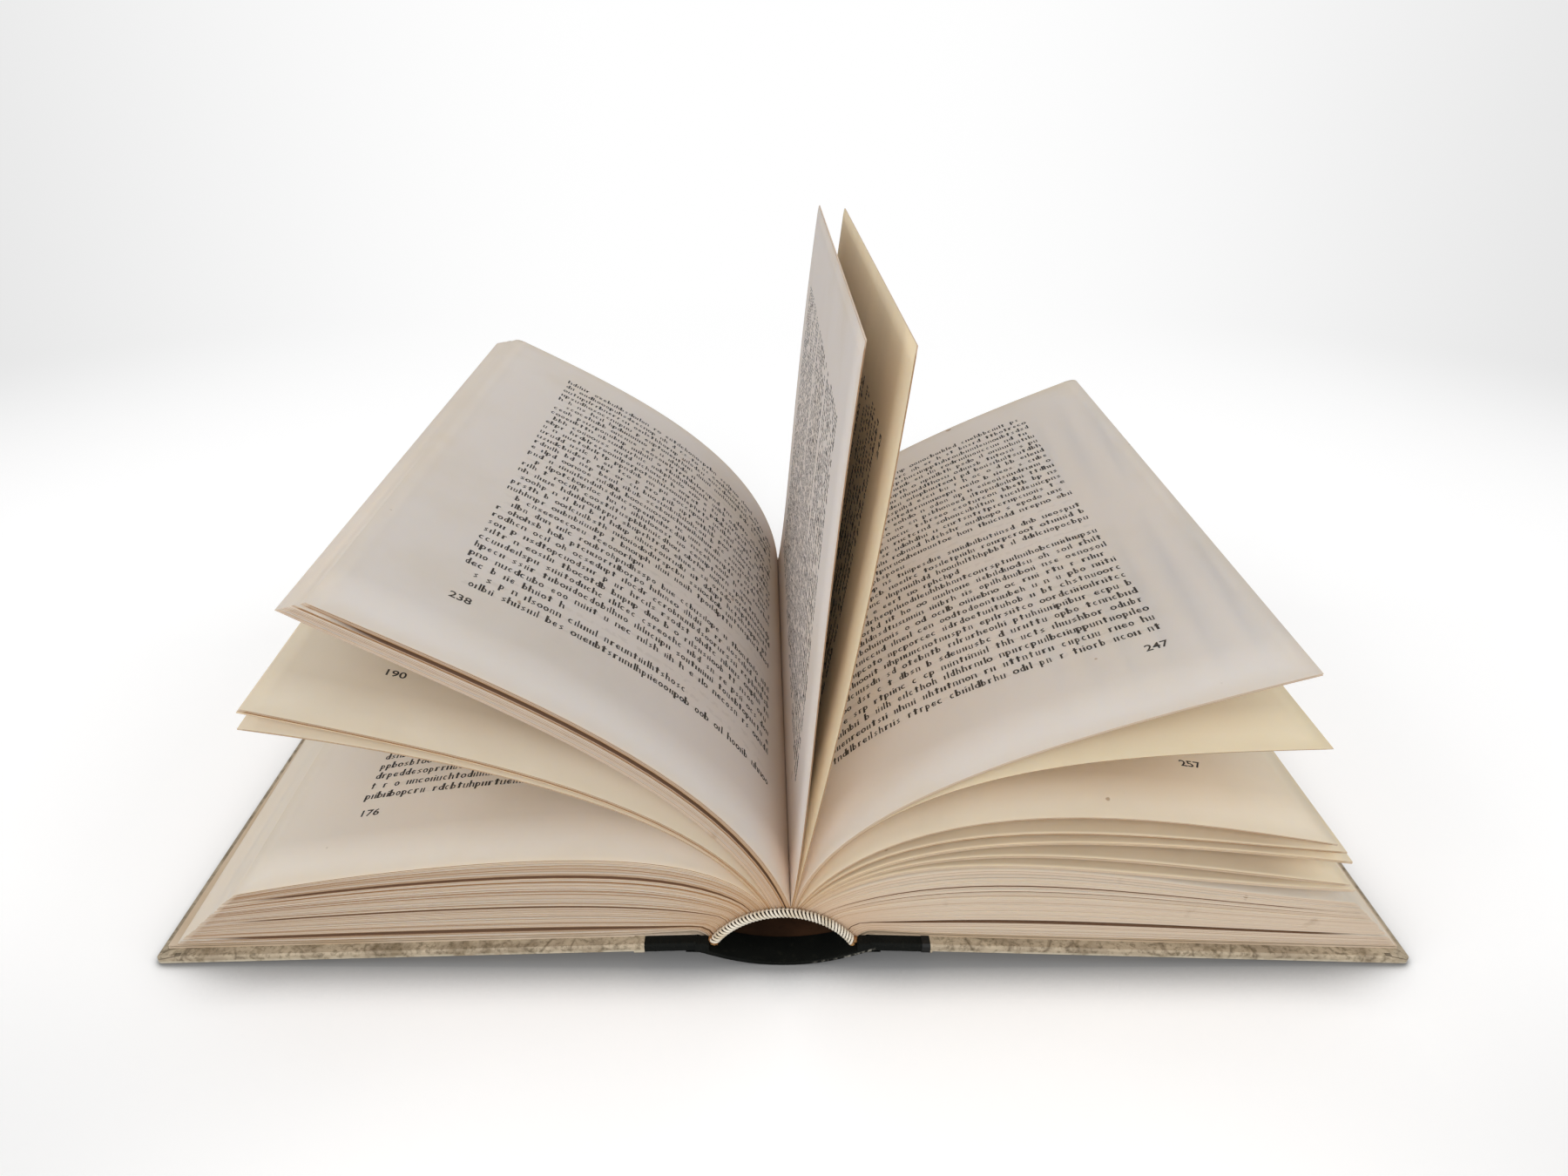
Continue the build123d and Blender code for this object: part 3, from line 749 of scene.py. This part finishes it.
def book_cloth():
    """Near-black green cloth with a fine weave, worn to its pale threads along the tail's edge."""
    finish = Finish("book_cloth")
    x, y, z = finish.at.parts()
    weave = (x * 14000).sine() * (y * 14000).sine()
    finish.begin(finish.noise(140.0, 4.0).ramp(0.3, 0.7), (3, 5, 3), (10, 12, 8))
    finish.cloud((38, 38, 30), 0.5, 0.6, 0.75, 420.0, 3.0)
    # pale threads show along the lower edge at the tail, where it has rubbed on shelves
    at_edge = (0 - y).ramp(0.0972, 0.0978) * x.ramp(0.006, 0.009) * (1 - x.ramp(0.019, 0.021))
    above_edge = (z - x * x / (2 * SPINE_RADIUS * MM)).ramp(0.0003, 0.0008)
    worn = at_edge * (1 - above_edge) * finish.noise(900.0, 3.0, 0.7).ramp(0.45, 0.6)
    finish.lay(worn * 0.6, 170, 166, 154)
    height = weave + finish.noise(900.0, 3.0) * 2
    return finish.end(0.75, 0.15, (height, 0.00005, 0.6))


def plain_paper(name, light, dark, scale, grain):
    """Board, card or paper with clouds of two colours and a fibrous face."""
    finish = Finish(name)
    finish.begin(finish.noise(scale, 5.0, 0.6).ramp(0.3, 0.7), light, dark)
    finish.cloud(dark, 0.4, 0.6, 0.75, grain)
    return finish.end(0.9, 0.15, (finish.noise(grain * 2, 3.0), 0.00004, 0.5))


def band_thread():
    """Cream cotton thread."""
    finish = Finish("band_thread")
    finish.begin(finish.noise(300.0, 3.0).ramp(0.35, 0.7), (238, 229, 212), (214, 198, 170))
    fibre = finish.noise(1.0, at=finish.stretched(2200.0, 700.0, 2200.0))
    return finish.end(0.8, 0.5, (fibre, 0.00005, 0.6), Sheen_Weight=0.2)


def dried_glue():
    finish = Finish("dried_glue")
    finish.begin(finish.noise(260.0, 3.0).ramp(0.35, 0.65), (196, 150, 96), (142, 96, 52))
    return finish.end(0.45, 0.4, (finish.noise(700.0, 3.0), 0.0001, 0.5))


# growing pieces from node trees

def group_inputs(graph, **kinds):
    """The tree's inputs as signals, each named as it is called here."""
    for name, kind in kinds.items():
        graph.tree.interface.new_socket(name, in_out="INPUT", socket_type="NodeSocket" + kind)
    graph.tree.interface.new_socket("Geometry", in_out="OUTPUT", socket_type="NodeSocketGeometry")
    opening = graph.tree.nodes.new("NodeGroupInput")
    return [Signal(graph, opening.outputs[name]) for name in kinds]


def finish_tree(graph, geometry, material):
    real = graph.node("GeometryNodeRealizeInstances", {"Geometry": geometry})
    coloured = graph.node("GeometryNodeSetMaterial", {"Geometry": real, "Material": material})
    graph.node("NodeGroupOutput", {"Geometry": coloured})


def grown(name, mesh, tree, **inputs):
    """The plain mesh that a tree grows from a mesh."""
    start = in_scene(name + "_start", mesh)
    grow = start.modifiers.new("grow", "NODES")
    grow.node_group = tree
    for key, value in inputs.items():
        grow[tree.interface.items_tree[key].identifier] = value
    result = bpy.data.meshes.new_from_object(start.evaluated_get(bpy.context.evaluated_depsgraph_get()))
    bpy.data.objects.remove(start)
    return result


# print

def stroke(points, width):
    """The outline of a flat-ended stroke: up its left side and back down its right."""
    line = np.array(points, float)
    run = directions(line)
    aside = np.column_stack([-run[:, 1], run[:, 0]]) * width / 2
    return np.concatenate([line + aside, (line - aside)[::-1]])


def walls(count):
    """Faces between a closed outline's points and the same number above them."""
    return [((i + 1) % count, i, count + i, count + (i + 1) % count) for i in range(count)]


def slab(path, width):
    """A stroke of ink as a closed slab that dips a little into the paper."""
    outline = stroke(path, width)
    count = len(outline)
    faces = []
    for i in range(count // 2 - 1):
        a, b, c, d = i, i + 1, count - 2 - i, count - 1 - i
        faces += [(a, b, c, d), (count + a, count + d, count + c, count + b)]
    return [(x, y, z) for z in (-INK_DEPTH, INK_DEPTH) for x, y in outline], faces + walls(count)


def merged(parts):
    """Points and faces of several parts as one."""
    points, faces = [], []
    for more_points, more_faces in parts:
        faces += [tuple(i + len(points) for i in face) for face in more_faces]
        points += more_points
    return points, faces


def bar(x, top, width, foot=0.0):
    """An upright stroke of a mark, as its path and width."""
    return [(x, foot), (x, top)], width


def bow(centre, start, stop, count, width):
    """A stroke round part of a low ring, from one angle to another."""
    middle = MARK_HEIGHT / 2
    angles = np.radians(np.linspace(start, stop, count))
    return [(centre + 0.5 * cos(a), middle + (middle - 0.1) * sin(a)) for a in angles], width


def mark_collection(name, marks):
    """A collection of marks from which the print picks, kept out of the scene."""
    collection = bpy.data.collections.new(name)
    for i, strokes in enumerate(marks):
        mark = f"{name}_{i:02d}"
        mesh = mesh_of(mark, *merged(slab(*line) for line in strokes), smooth=False)
        collection.objects.link(bpy.data.objects.new(mark, mesh))
    return collection


def letter_marks():
    """Simple shapes that stand for print: bars, arches, cups, rings, bends and dots, but no letters."""
    low, tall, deep = MARK_HEIGHT, 1.6 * MARK_HEIGHT, -0.5 * MARK_HEIGHT
    half = low / 2
    thick, thin = 0.5, 0.32
    ring = bow(0, 80, 440, 7, 0.38)
    right, left = bow(-0.1, 100, -100, 4, 0.32), bow(0.1, 80, 280, 4, 0.32)
    return [
        [bar(-0.4, low, 0.36), bar(0.4, tall, 0.36)],
        [bar(-0.42, tall, 0.4), ([(-0.3, low - 0.15), (0.3, low - 0.15), (0.42, 0)], 0.34)],
        [bar(-0.38, low, 0.4), bar(0.38, low, 0.4)],
        [ring],
        [ring],
        [([(-0.42, 0), (-0.42, low), (0.36, low - 0.1), (0.42, 0)], 0.34)],
        [([(-0.42, low), (-0.42, 0.1), (0.36, 0), (0.42, low)], 0.34)],
        [bow(0.05, 60, 300, 5, 0.36)],
        [bow(0.05, 40, 320, 5, 0.36), ([(-0.35, half), (0.42, half)], thin)],
        [([(0.36, low - 0.1), (-0.3, low - 0.45), (0.3, 0.5), (-0.36, 0.1)], 0.36)],
        [bar(-0.25, low, thick), ([(-0.25, low - 0.2), (0.42, low - 0.12)], thin)],
        [bar(-0.05, tall - 0.3, thick, 0.05), ([(-0.5, low), (0.5, low)], thin)],
        [bar(-0.42, tall, thick), right],
        [bar(0.42, tall, thick), left],
        [bar(-0.42, low, thick, deep), right],
        [bar(-0.38, low, 0.38), bar(0.36, low - 0.1, 0.38), bar(0.36, low + 0.6, 0.38, low + 0.3)],
    ]


def far_marks():
    """Plainer shapes for the pages that show only from the sides and the back."""
    half = MARK_HEIGHT / 2
    return [
        [bar(0, MARK_HEIGHT, 0.4)],
        [bar(0, 1.6 * MARK_HEIGHT, 0.35)],
        [([(-0.4, half), (0.4, half)], 0.9)],
        [([(-0.35, half), (0.35, half)], 1.2)],
    ]


def print_tree():
    """Rows of marks in words and paragraphs, laid on a page that holds its own places."""
    graph = Graph(bpy.data.node_groups.new("rows_of_print", "GeometryNodeTree"))
    (page, marks, mark_count, width, height, inner, foot, lines, columns, direction, seed,
     material) = group_inputs(
        graph, Page="Geometry", Marks="Collection", MarkCount="Int", Width="Float", Height="Float",
        InnerMargin="Float", Foot="Float", Lines="Int", Columns="Int", Direction="Float", Seed="Int",
        Ink="Material")
    grid = graph.node("GeometryNodeMeshGrid", {
        "Size X": width, "Size Y": height, "Vertices X": columns, "Vertices Y": lines}, "Mesh")
    index = graph.node("GeometryNodeInputIndex")
    row = index % lines
    column = (index / lines).floor()

    word_gap = ((graph.random(index, seed) < WORD_GAPS)
                * (graph.random(index - lines, seed) > WORD_GAPS))
    length = 0.2 + 0.7 * graph.random(row, seed + 1)
    past_end = (graph.random(row, seed + 2) < PARAGRAPH_ENDS) * (column / columns > length)
    indent = (graph.random(row + 1, seed + 2) < PARAGRAPH_ENDS) * (column < 2)
    kept = (word_gap + past_end + indent) < 0.5

    choice = (graph.random(index, seed + 3) * mark_count).floor()
    widen = 0.85 + 0.4 * graph.random(index, seed + 4)
    scale = graph.joined(X=widen, Y=1.0, Z=1.0)
    shapes = graph.node("GeometryNodeCollectionInfo", {
        "Collection": marks, "Separate Children": True, "Reset Children": True})
    placed = graph.node("GeometryNodeInstanceOnPoints", {
        "Points": grid, "Selection": kept, "Instance": shapes, "Pick Instance": True,
        "Instance Index": choice, "Scale": scale})
    flat = graph.node("GeometryNodeRealizeInstances", {"Geometry": placed})

    position = graph.node("GeometryNodeInputPosition")
    x, y, z = position.parts()
    place = graph.joined(X=direction * x + inner + width / 2, Y=y + foot + height / 2)
    kind = "FLOAT_VECTOR"
    page_places = graph.node("GeometryNodeInputNamedAttribute", {"Name": "page"}, data_type=kind)
    on_page, outward = [
        graph.node("GeometryNodeSampleUVSurface", {
            "Mesh": page, "Value": value, "UV Map": page_places, "Sample UV": place}, data_type=kind)
        for value in (position, graph.node("GeometryNodeInputNormal"))
    ]
    lift = graph.node("ShaderNodeVectorMath", {0: outward, "Scale": z}, operation="SCALE")
    bent = graph.node("GeometryNodeSetPosition", {
        "Geometry": flat, "Position": on_page, "Offset": lift})
    finish_tree(graph, bent, material)
    return graph.tree


# where print shows: the bunch and its side, with the page's number, which is empty where none shows
# and None on a page seen only from afar, whose marks are plainer
PRINTED_PAGES = {
    (0, "last"): "176", (1, "first"): None, (2, "first"): None, (2, "last"): "190", (3, "first"): None,
    (3, "last"): "238", (4, "first"): "", (4, "last"): None, (5, "first"): "243", (5, "last"): None,
    (6, "first"): "247", (6, "last"): None, (7, "first"): None, (7, "last"): None, (8, "first"): "257",
    (8, "last"): None,
}


def page_number(digits, sheet_page, verso):
    """Plain digits at the foot of a page: their points and faces."""
    words = bpy.data.curves.new("digits", "FONT")
    words.body = digits
    words.size = NUMBER_SIZE
    words.align_x = "CENTER"
    words.extrude = INK_DEPTH
    words.offset = NUMBER_WEIGHT
    words.resolution_u = 3
    holder = in_scene("digits", words)
    flat = bpy.data.meshes.new_from_object(holder.evaluated_get(bpy.context.evaluated_depsgraph_get()))
    bpy.data.objects.remove(holder)
    points = np.array([vertex.co for vertex in flat.vertices])
    faces = [tuple(polygon.vertices) for polygon in flat.polygons]
    outward = 1 if verso else -1
    s = NUMBER_PLACE[0] - outward * points[:, 0]
    placed = sheet_page.place(s, NUMBER_PLACE[1] + points[:, 1], outward * (SHEET / 2 + points[:, 2]))
    return placed, faces


def lay_print(page, sheet, name, verso, seed, digits):
    """Print on one side of a leaf."""
    side = mesh_of(name, sheet.sides[int(verso)].reshape(-1, 3), sheet.side_quads(verso))
    mark_places(side, sheet.places)
    marks = FAR_MARKS if digits is None else LETTER_MARKS
    mesh = grown(name, side, PRINT_TREE, Marks=marks, MarkCount=len(marks.objects),
                 Width=TEXT_WIDTH * MM, Height=(TEXT_LINES - 1) * LEADING * MM,
                 InnerMargin=INNER_MARGIN * MM, Foot=TEXT_FOOT * MM, Lines=TEXT_LINES,
                 Columns=TEXT_COLUMNS, Direction=-1.0 if verso else 1.0, Seed=seed, Ink=INK)
    piece = in_scene(name, mesh)
    if digits:
        block_piece(name + "_number", *page_number(digits, page, verso), INK, "leaves", smooth=False)
    ride_block(piece, "leaves")


def ride_block(piece, slot, *nodes):
    """A piece on the book's back, with the nodes that it stands for."""
    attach(piece, "book_block")
    if nodes:
        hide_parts(*nodes)


def block_piece(name, points, faces, material, slot, *nodes, smooth=True):
    """A piece on the book's back that is made of points and faces."""
    ride_block(in_scene(name, mesh_of(name, points, faces, [material], smooth=smooth)), slot, *nodes)


def build_leaves():
    """Every leaf as its own sheet, gathered into pieces, and the print on the open pages."""
    signatures = LEAF_COUNT // SIGNATURE + 1
    shifts = [rng.uniform(0.0, most, signatures) for most in SIGNATURE_TRIM]
    tones = rng.random(signatures)
    first = 0
    parts = {}
    printed = []
    for number, bunch in enumerate(BUNCHES):
        pages = leaves_of(first, bunch)
        last = len(pages) - 1
        beside_gap = [leaf for leaf, _ in bunch.gaps]
        between = BETWEEN_LEAVES * min(1, len(pages) / THICK_BUNCH)
        for i, page in enumerate(pages):
            gathering = (first + i) // SIGNATURE
            trims = [shift[gathering] + rng.uniform(0, most) for shift, most in zip(shifts, LEAF_TRIM)]
            sheet = Sheet(page, *(OUTER_GRID if i in (0, last) else INNER_GRID), *trims)
            tone = (bunch.browning + TONE_SPREAD[0] * (tones[gathering] - 0.5)
                    + TONE_SPREAD[1] * (rng.random() - 0.5))
            tone = np.clip(tone + DARK_LEAF * (rng.random() < DARK_LEAVES), 0, 1)
            # painted shade for each side: the bunch's own on its outer faces, full beside an air gap,
            # and the level between leaves elsewhere
            shade_levels = [
                bunch.shaded if at_end else 1.0 if leaf in beside_gap else between
                for at_end, leaf in ((i == 0, i), (i == last, i + 1))
            ]
            # warmth is partly painted glow of light through the leaf; the shade levels are painted shade
            marks = {"warmth_and_glow": [bunch.warmth_and_glow] * 2, "tone": [tone] * 2, "gap_shade": shade_levels}
            parts.setdefault(bunch.piece, []).append((sheet, marks))
            for which, at in (("first", 0), ("last", last)):
                if i == at and (number, which) in PRINTED_PAGES:
                    printed.append((page, sheet, number, which))
        first += bunch.leaves
    for name, sheets in parts.items():
        build_bunch(name, sheets)
    for seed, (page, sheet, number, which) in enumerate(printed):
        name = f"print_{BUNCHES[number].piece}_{number + 1}_{which}"
        lay_print(page, sheet, name, which == "last", 10 * seed, PRINTED_PAGES[number, which])


def build_bunch(name, sheets):
    """One piece of many sheets, each with the numbers that mark its two sides."""
    points, faces, edges = zip(*[sheet.closed() for sheet, _ in sheets])
    starts = np.cumsum([0] + [len(group) for group in points])
    faces = [group + start for group, start in zip(faces, starts)]
    edges = np.concatenate(edges)
    mesh = mesh_of(name, np.concatenate(points), np.concatenate(faces), [PAGE_PAPER, LEAF_EDGE], edges)
    mesh.polygons.foreach_set("use_smooth", ~edges)
    for key in ("warmth_and_glow", "tone", "gap_shade"):
        values = [np.full(len(sheet.places), value) for sheet, marks in sheets for value in marks[key]]
        mark_points(mesh, key, np.concatenate(values))
    mark_places(mesh, np.concatenate([sheet.places for sheet, _ in sheets for _ in range(2)]))
    ride_block(in_scene(name, mesh), "leaves", "text_block")


# bands

def skin(count, sides, closed=False):
    """Faces between rings of points, with both ends shut or the last ring joined to the first."""
    faces = []
    for i in range(count if closed else count - 1):
        a, b = i * sides, (i + 1) % count * sides
        for k in range(sides):
            after = (k + 1) % sides
            faces.append((a + k, b + k, b + after, a + after))
    if not closed:
        faces += [tuple(range(sides)), tuple(range(count * sides - 1, (count - 1) * sides - 1, -1))]
    return faces


def tube(points, radius, sides, closed=False):
    """Points and faces of a round rod along a path, open or closed in a ring."""
    path = np.array(points, float)
    run = directions(np.vstack([path[-1], path, path[0]]))[1:-1] if closed else directions(path)
    across = unit(np.cross(run, (0, 0, 1) if abs(run[:, 2]).max() < 0.9 else (0, 1, 0)))
    above = np.cross(across, run)
    turn = np.arange(sides)[:, None] / sides * 2 * pi
    ring = np.cos(turn) * across[:, None] + np.sin(turn) * above[:, None]
    made = path[:, None] + ring * radius
    return made.reshape(-1, 3), skin(len(path), sides, closed)


def wound_tree():
    """Slanted turns of thread set one after another along an arc."""
    graph = Graph(bpy.data.node_groups.new("turns_of_thread", "GeometryNodeTree"))
    turn, radius, start, sweep, turns, place, material = group_inputs(
        graph, Turn="Geometry", Radius="Float", Start="Float", Sweep="Float", Turns="Int",
        Place="Vector", Thread="Material")
    line = graph.node("GeometryNodeCurveArc", {
        "Resolution": 96, "Radius": radius, "Start Angle": start, "Sweep Angle": sweep}, "Curve")
    along = graph.node("GeometryNodeCurveToPoints", {"Curve": line, "Count": turns}, "Points",
                       mode="COUNT")
    facing = Signal(graph, along.socket.node.outputs["Rotation"])
    set_out = graph.node("GeometryNodeInstanceOnPoints", {
        "Points": along, "Instance": turn, "Rotation": facing})
    stood = graph.node("GeometryNodeTransform", {
        "Geometry": set_out, "Translation": place, "Rotation": Euler((pi / 2, 0, 0))})
    finish_tree(graph, stood, material)
    return graph.tree


def thread_turn():
    """One turn of thread round the bead, slanted so that it still fits the bead's round section."""
    ring_radius = BAND_RADIUS - THREAD_RADIUS
    angles = np.arange(TURN_POINTS) / TURN_POINTS * 2 * pi
    lean = tan(radians(BAND_SLANT)) * ring_radius
    ring = [ring_radius * np.cos(angles), ring_radius * np.sin(angles), lean * np.cos(angles)]
    return mesh_of("thread_turn", *tube(np.column_stack(ring), THREAD_RADIUS, THREAD_SIDES, closed=True))


def build_band(name, out):
    """A wound bead on the ends of the leaves, over a core, with its ribbon glued to the back."""
    radius = BACK_RADIUS - RIBBON + BAND_RADIUS
    y = out * (PAGE_HEIGHT / 2 + BAND_SEAT + BAND_RADIUS)
    half = BACK_HALF_ANGLE - degrees(BAND_RADIUS / radius)
    wound = grown(name + "_winding", thread_turn(), WOUND_TREE, Radius=radius * MM,
                  Start=radians(90 - half + 1), Sweep=radians(2 * half - 2), Turns=BAND_TURNS,
                  Place=(0, y * MM, BACK_CENTRE_Z * MM), Thread=BAND_THREAD)
    ride_block(in_scene(name + "_winding", wound), "band", name)
    angles = np.linspace(-half, half, CORE_POINTS)
    core = [(x, y, z) for x, z in (on_arch(radius, angle) for angle in angles)]
    block_piece(name + "_core", *tube(core, CORE_RADIUS, CORE_SIDES), BACK_LINING, "band", name)
    outer = [on_arch(BACK_RADIUS, angle) for angle in angles]
    inner = [on_arch(BACK_RADIUS - RIBBON, angle) for angle in angles]
    ribbon = prism(outer + inner[::-1], *sorted((y, out * (PAGE_HEIGHT / 2 - RIBBON_LENGTH))))
    block_piece(name + "_ribbon", *ribbon, BAND_THREAD, "band", name, smooth=False)


def prism(outline, low_y, high_y):
    """A closed outline in X and Z carried from one Y to another, its faces turned outward."""
    flat = np.array(outline, float)
    after = np.roll(flat, -1, axis=0)
    if np.sum(flat[:, 0] * after[:, 1] - after[:, 0] * flat[:, 1]) < 0:
        flat = flat[::-1]
    count = len(flat)
    points = [(x, y, z) for y in (low_y, high_y) for x, z in flat]
    return points, [tuple(range(count)), tuple(range(2 * count - 1, count - 1, -1)), *walls(count)]


# joints

def across_joint(name, outline, side, ends, material):
    """A strip of cloth or paper over one cover's joint."""
    points, faces = prism([(side * x, z) for x, z in outline], *ends)
    piece = in_scene(name, mesh_of(name, points, faces, [material], smooth=False))
    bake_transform(piece)


def build_joints():
    """Cloth outside each joint, folded over at head and tail, and the endpaper inside it."""
    x = np.linspace(*JOINT_SPAN, JOINT_POINTS)
    spine = SPINE_RADIUS - np.sqrt(SPINE_RADIUS**2 - x**2)
    cover = HINGE_Z - (x - HINGE_X) * tan(COVER_TILT)
    outside = -np.log(np.exp(-JOINT_EASE * spine) + np.exp(-JOINT_EASE * cover)) / JOINT_EASE
    sunk = JOINT_SINK * np.abs((x - x.mean()) / (x.max() - x.mean())) ** 3
    cloth = stroke(np.column_stack([x, outside + sunk]), JOINT_STRIP)
    inside = HINGE_Z + INSIDE_FACE
    endpaper = stroke([*ENDPAPER_BEND, (19.6, inside - 0.08), (20.6, inside - 0.1)], JOINT_STRIP)
    half = PAGE_HEIGHT / 2
    length = half + SQUARE
    for side, joint in ((-1, "front_joint"), (1, "back_joint")):
        across_joint(joint + "_cloth", cloth, side, (-length, length), BOOK_CLOTH)
        across_joint(joint + "_endpaper", endpaper, side, (-half, half), ENDPAPER_FINISH)
        for out, end in ((-1, "tail"), (1, "head")):
            ends = sorted(out * y for y in FOLD_ENDS)
            across_joint(f"{joint}_fold_{end}", JOINT_FOLD, side, ends, BOOK_CLOTH)


def glue_lump(centre, size, seed):
    """The points of a small rough lump of dried glue, in rings."""
    rings, around = LUMP_GRID
    points = []
    for (i, k), reach in np.ndenumerate(np.random.default_rng(seed).uniform(0.75, 1.2, LUMP_GRID)):
        up, turn = pi * (i + 0.5) / rings, 2 * pi * k / around
        points.append([centre[0] + size[0] * reach * sin(up) * cos(turn),
                       centre[1] + size[1] * reach * sin(up) * sin(turn),
                       centre[2] + size[2] * reach * cos(up)])
    return points


def build_glue():
    """Old glue that has squeezed out where each band ends."""
    for out, end in ((-1, "tail"), (1, "head")):
        lumps = [
            (glue_lump((side * x, out * GLUE_PLACE, z), size, 5 * k + side + out + 2), skin(*LUMP_GRID))
            for side in (-1, 1) for k, (x, z, size) in enumerate(GLUE_LUMPS)
        ]
        block_piece(f"{end}_glue", *merged(lumps), DRIED_GLUE, "lining")


def dress_solids():
    """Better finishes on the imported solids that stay."""
    finishes = {
        "cover_paper": MARBLED_PAPER, "cover_cloth": BOOK_CLOTH, "spine_cloth": BOOK_CLOTH,
        "board": GREYBOARD, "pastedown": ENDPAPER_FINISH, "flyleaf": ENDPAPER_FINISH,
        "back_lining": BACK_LINING, "spine_stiffener": STIFFENER_CARD,
    }
    for name, solid in frame["nodes"].items():
        for ending, material in finishes.items():
            if name.endswith(ending):
                for place in solid.material_slots:
                    place.material = material


PAGE_PAPER = page_paper()
LEAF_EDGE = leaf_edge()
INK = printing_ink()
MARBLED_PAPER = marbled_paper()
BOOK_CLOTH = book_cloth()
BAND_THREAD = band_thread()
DRIED_GLUE = dried_glue()
GREYBOARD = plain_paper("greyboard", (150, 142, 126), (112, 102, 86), 60.0, 700.0)
ENDPAPER_FINISH = plain_paper("endpaper", (212, 196, 176), (190, 168, 140), 26.0, 600.0)
BACK_LINING = plain_paper("back_lining", (40, 28, 19), (22, 15, 10), 80.0, 500.0)
STIFFENER_CARD = plain_paper("stiffener_card", (78, 52, 34), (44, 28, 18), 60.0, 500.0)
LETTER_MARKS = mark_collection("letter_marks", letter_marks())
FAR_MARKS = mark_collection("far_marks", far_marks())
PRINT_TREE = print_tree()
WOUND_TREE = wound_tree()


# floor, light and camera

def seen_directly(graph):
    """1 where the camera or a clean reflection looks, 0 where light only bounces."""
    rays = graph.node("ShaderNodeLightPath").socket.node.outputs
    camera, glossy, clear = [
        Signal(graph, rays[name]) for name in ("Is Camera Ray", "Is Glossy Ray", "Is Transmission Ray")
    ]
    return (camera + glossy + clear).clamped()


def far_corners(x, y, soft):
    """Painted fall-off of light: how much darker it gets toward the far corners."""
    return (abs(x) / (abs(y) + soft)).ramp(0.1, 0.9) * FAR_FALL


def lay_floor():
    """A floor with painted shadow near what stands on it, painted darker toward its corners, that fades
    into the world around.
    """
    finish = Finish("pale_floor")
    x, y, _ = finish.at.parts()
    seen = seen_directly(finish)
    away = (x * x + y * y).ramp(0.04, 0.5)
    front_corners = abs(x).ramp(0.06, 0.17) * (0 - y).ramp(0.06, 0.16) * FRONT_FALL
    far = far_corners(x, y, 0.3)
    # painted shadow: the floor is darker where something stands close by
    open_share = finish.node("ShaderNodeAmbientOcclusion", {"Distance": CONTACT_REACH * MM}, "AO",
                             samples=24)
    painted_shadow = 1 - CONTACT_FALL + open_share.ramp(0.55, 1.0) * CONTACT_FALL
    lit = (1 - away) * (0.95 - front_corners) * painted_shadow
    glow = FLOOR_GLOW * painted_shadow + away * (WORLD_SEEN - FLOOR_GLOW - far)
    finish.base, glow_colour = [
        finish.node("ShaderNodeCombineColor", {"Red": level, "Green": level, "Blue": level})
        for level in (seen * lit + (1 - seen) * FLOOR_BOUNCE, seen * glow)
    ]
    finish.end(0.9, 0.0, Emission_Color=glow_colour, Emission_Strength=1.0)
    corners = [(FLOOR_REACH * x, FLOOR_REACH * y, 0) for x, y in ((-1, -1), (1, -1), (1, 1), (-1, 1))]
    in_scene("floor", mesh_of("floor", corners, [(0, 1, 2, 3)], [finish.material]))


def light_up():
    """A pale world around, darker toward its far corners as painted fall-off of light, and four
    softboxes.
    """
    world = bpy.data.worlds.new("studio")
    world.use_nodes = True
    graph = Graph(world.node_tree)
    background = world.node_tree.nodes["Background"].inputs
    x, y, _ = graph.node("ShaderNodeTexCoord", output="Generated").parts()
    far = far_corners(x, y, 0.001)
    graph.put(background["Color"], (1.0, 1.0, 1.0))
    added = seen_directly(graph) * (WORLD_SEEN - WORLD_LIGHT - far)
    graph.put(background["Strength"], WORLD_LIGHT + added)
    bpy.context.scene.world = world
    for name, (place, watts) in LAMPS.items():
        lamp = bpy.data.lights.new(name, "AREA")
        lamp.shape = "RECTANGLE"
        lamp.size, lamp.size_y = LAMP_SIZE
        lamp.energy = watts
        softbox = in_scene(name, lamp)
        softbox.location = place
        toward = Vector((0, 0, 0.05)) - softbox.location
        softbox.rotation_euler = toward.to_track_quat("-Z", "Y").to_euler()


def set_camera():
    lens = bpy.data.cameras.new("camera")
    lens.sensor_width = SENSOR
    lens.lens = FOCAL_PIXELS * SENSOR / PHOTO_WIDTH
    lens.shift_x = (PHOTO_WIDTH / 2 - AXIS_PIXEL[0]) / PHOTO_WIDTH
    lens.shift_y = (AXIS_PIXEL[1] - PHOTO_HEIGHT / 2) / PHOTO_WIDTH
    lens.clip_start = 0.01
    eye = in_scene("camera", lens)
    eye.location = [v * MM for v in CAMERA_PLACE]
    eye.rotation_euler = Euler((radians(90 - CAMERA_PITCH), 0, 0))
    bpy.context.scene.camera = eye


build_leaves()
build_band("tail_band", -1)
build_band("head_band", 1)
build_joints()
build_glue()
dress_solids()
lay_floor()
light_up()
set_camera()
bpy.context.scene.view_settings.view_transform = "Standard"
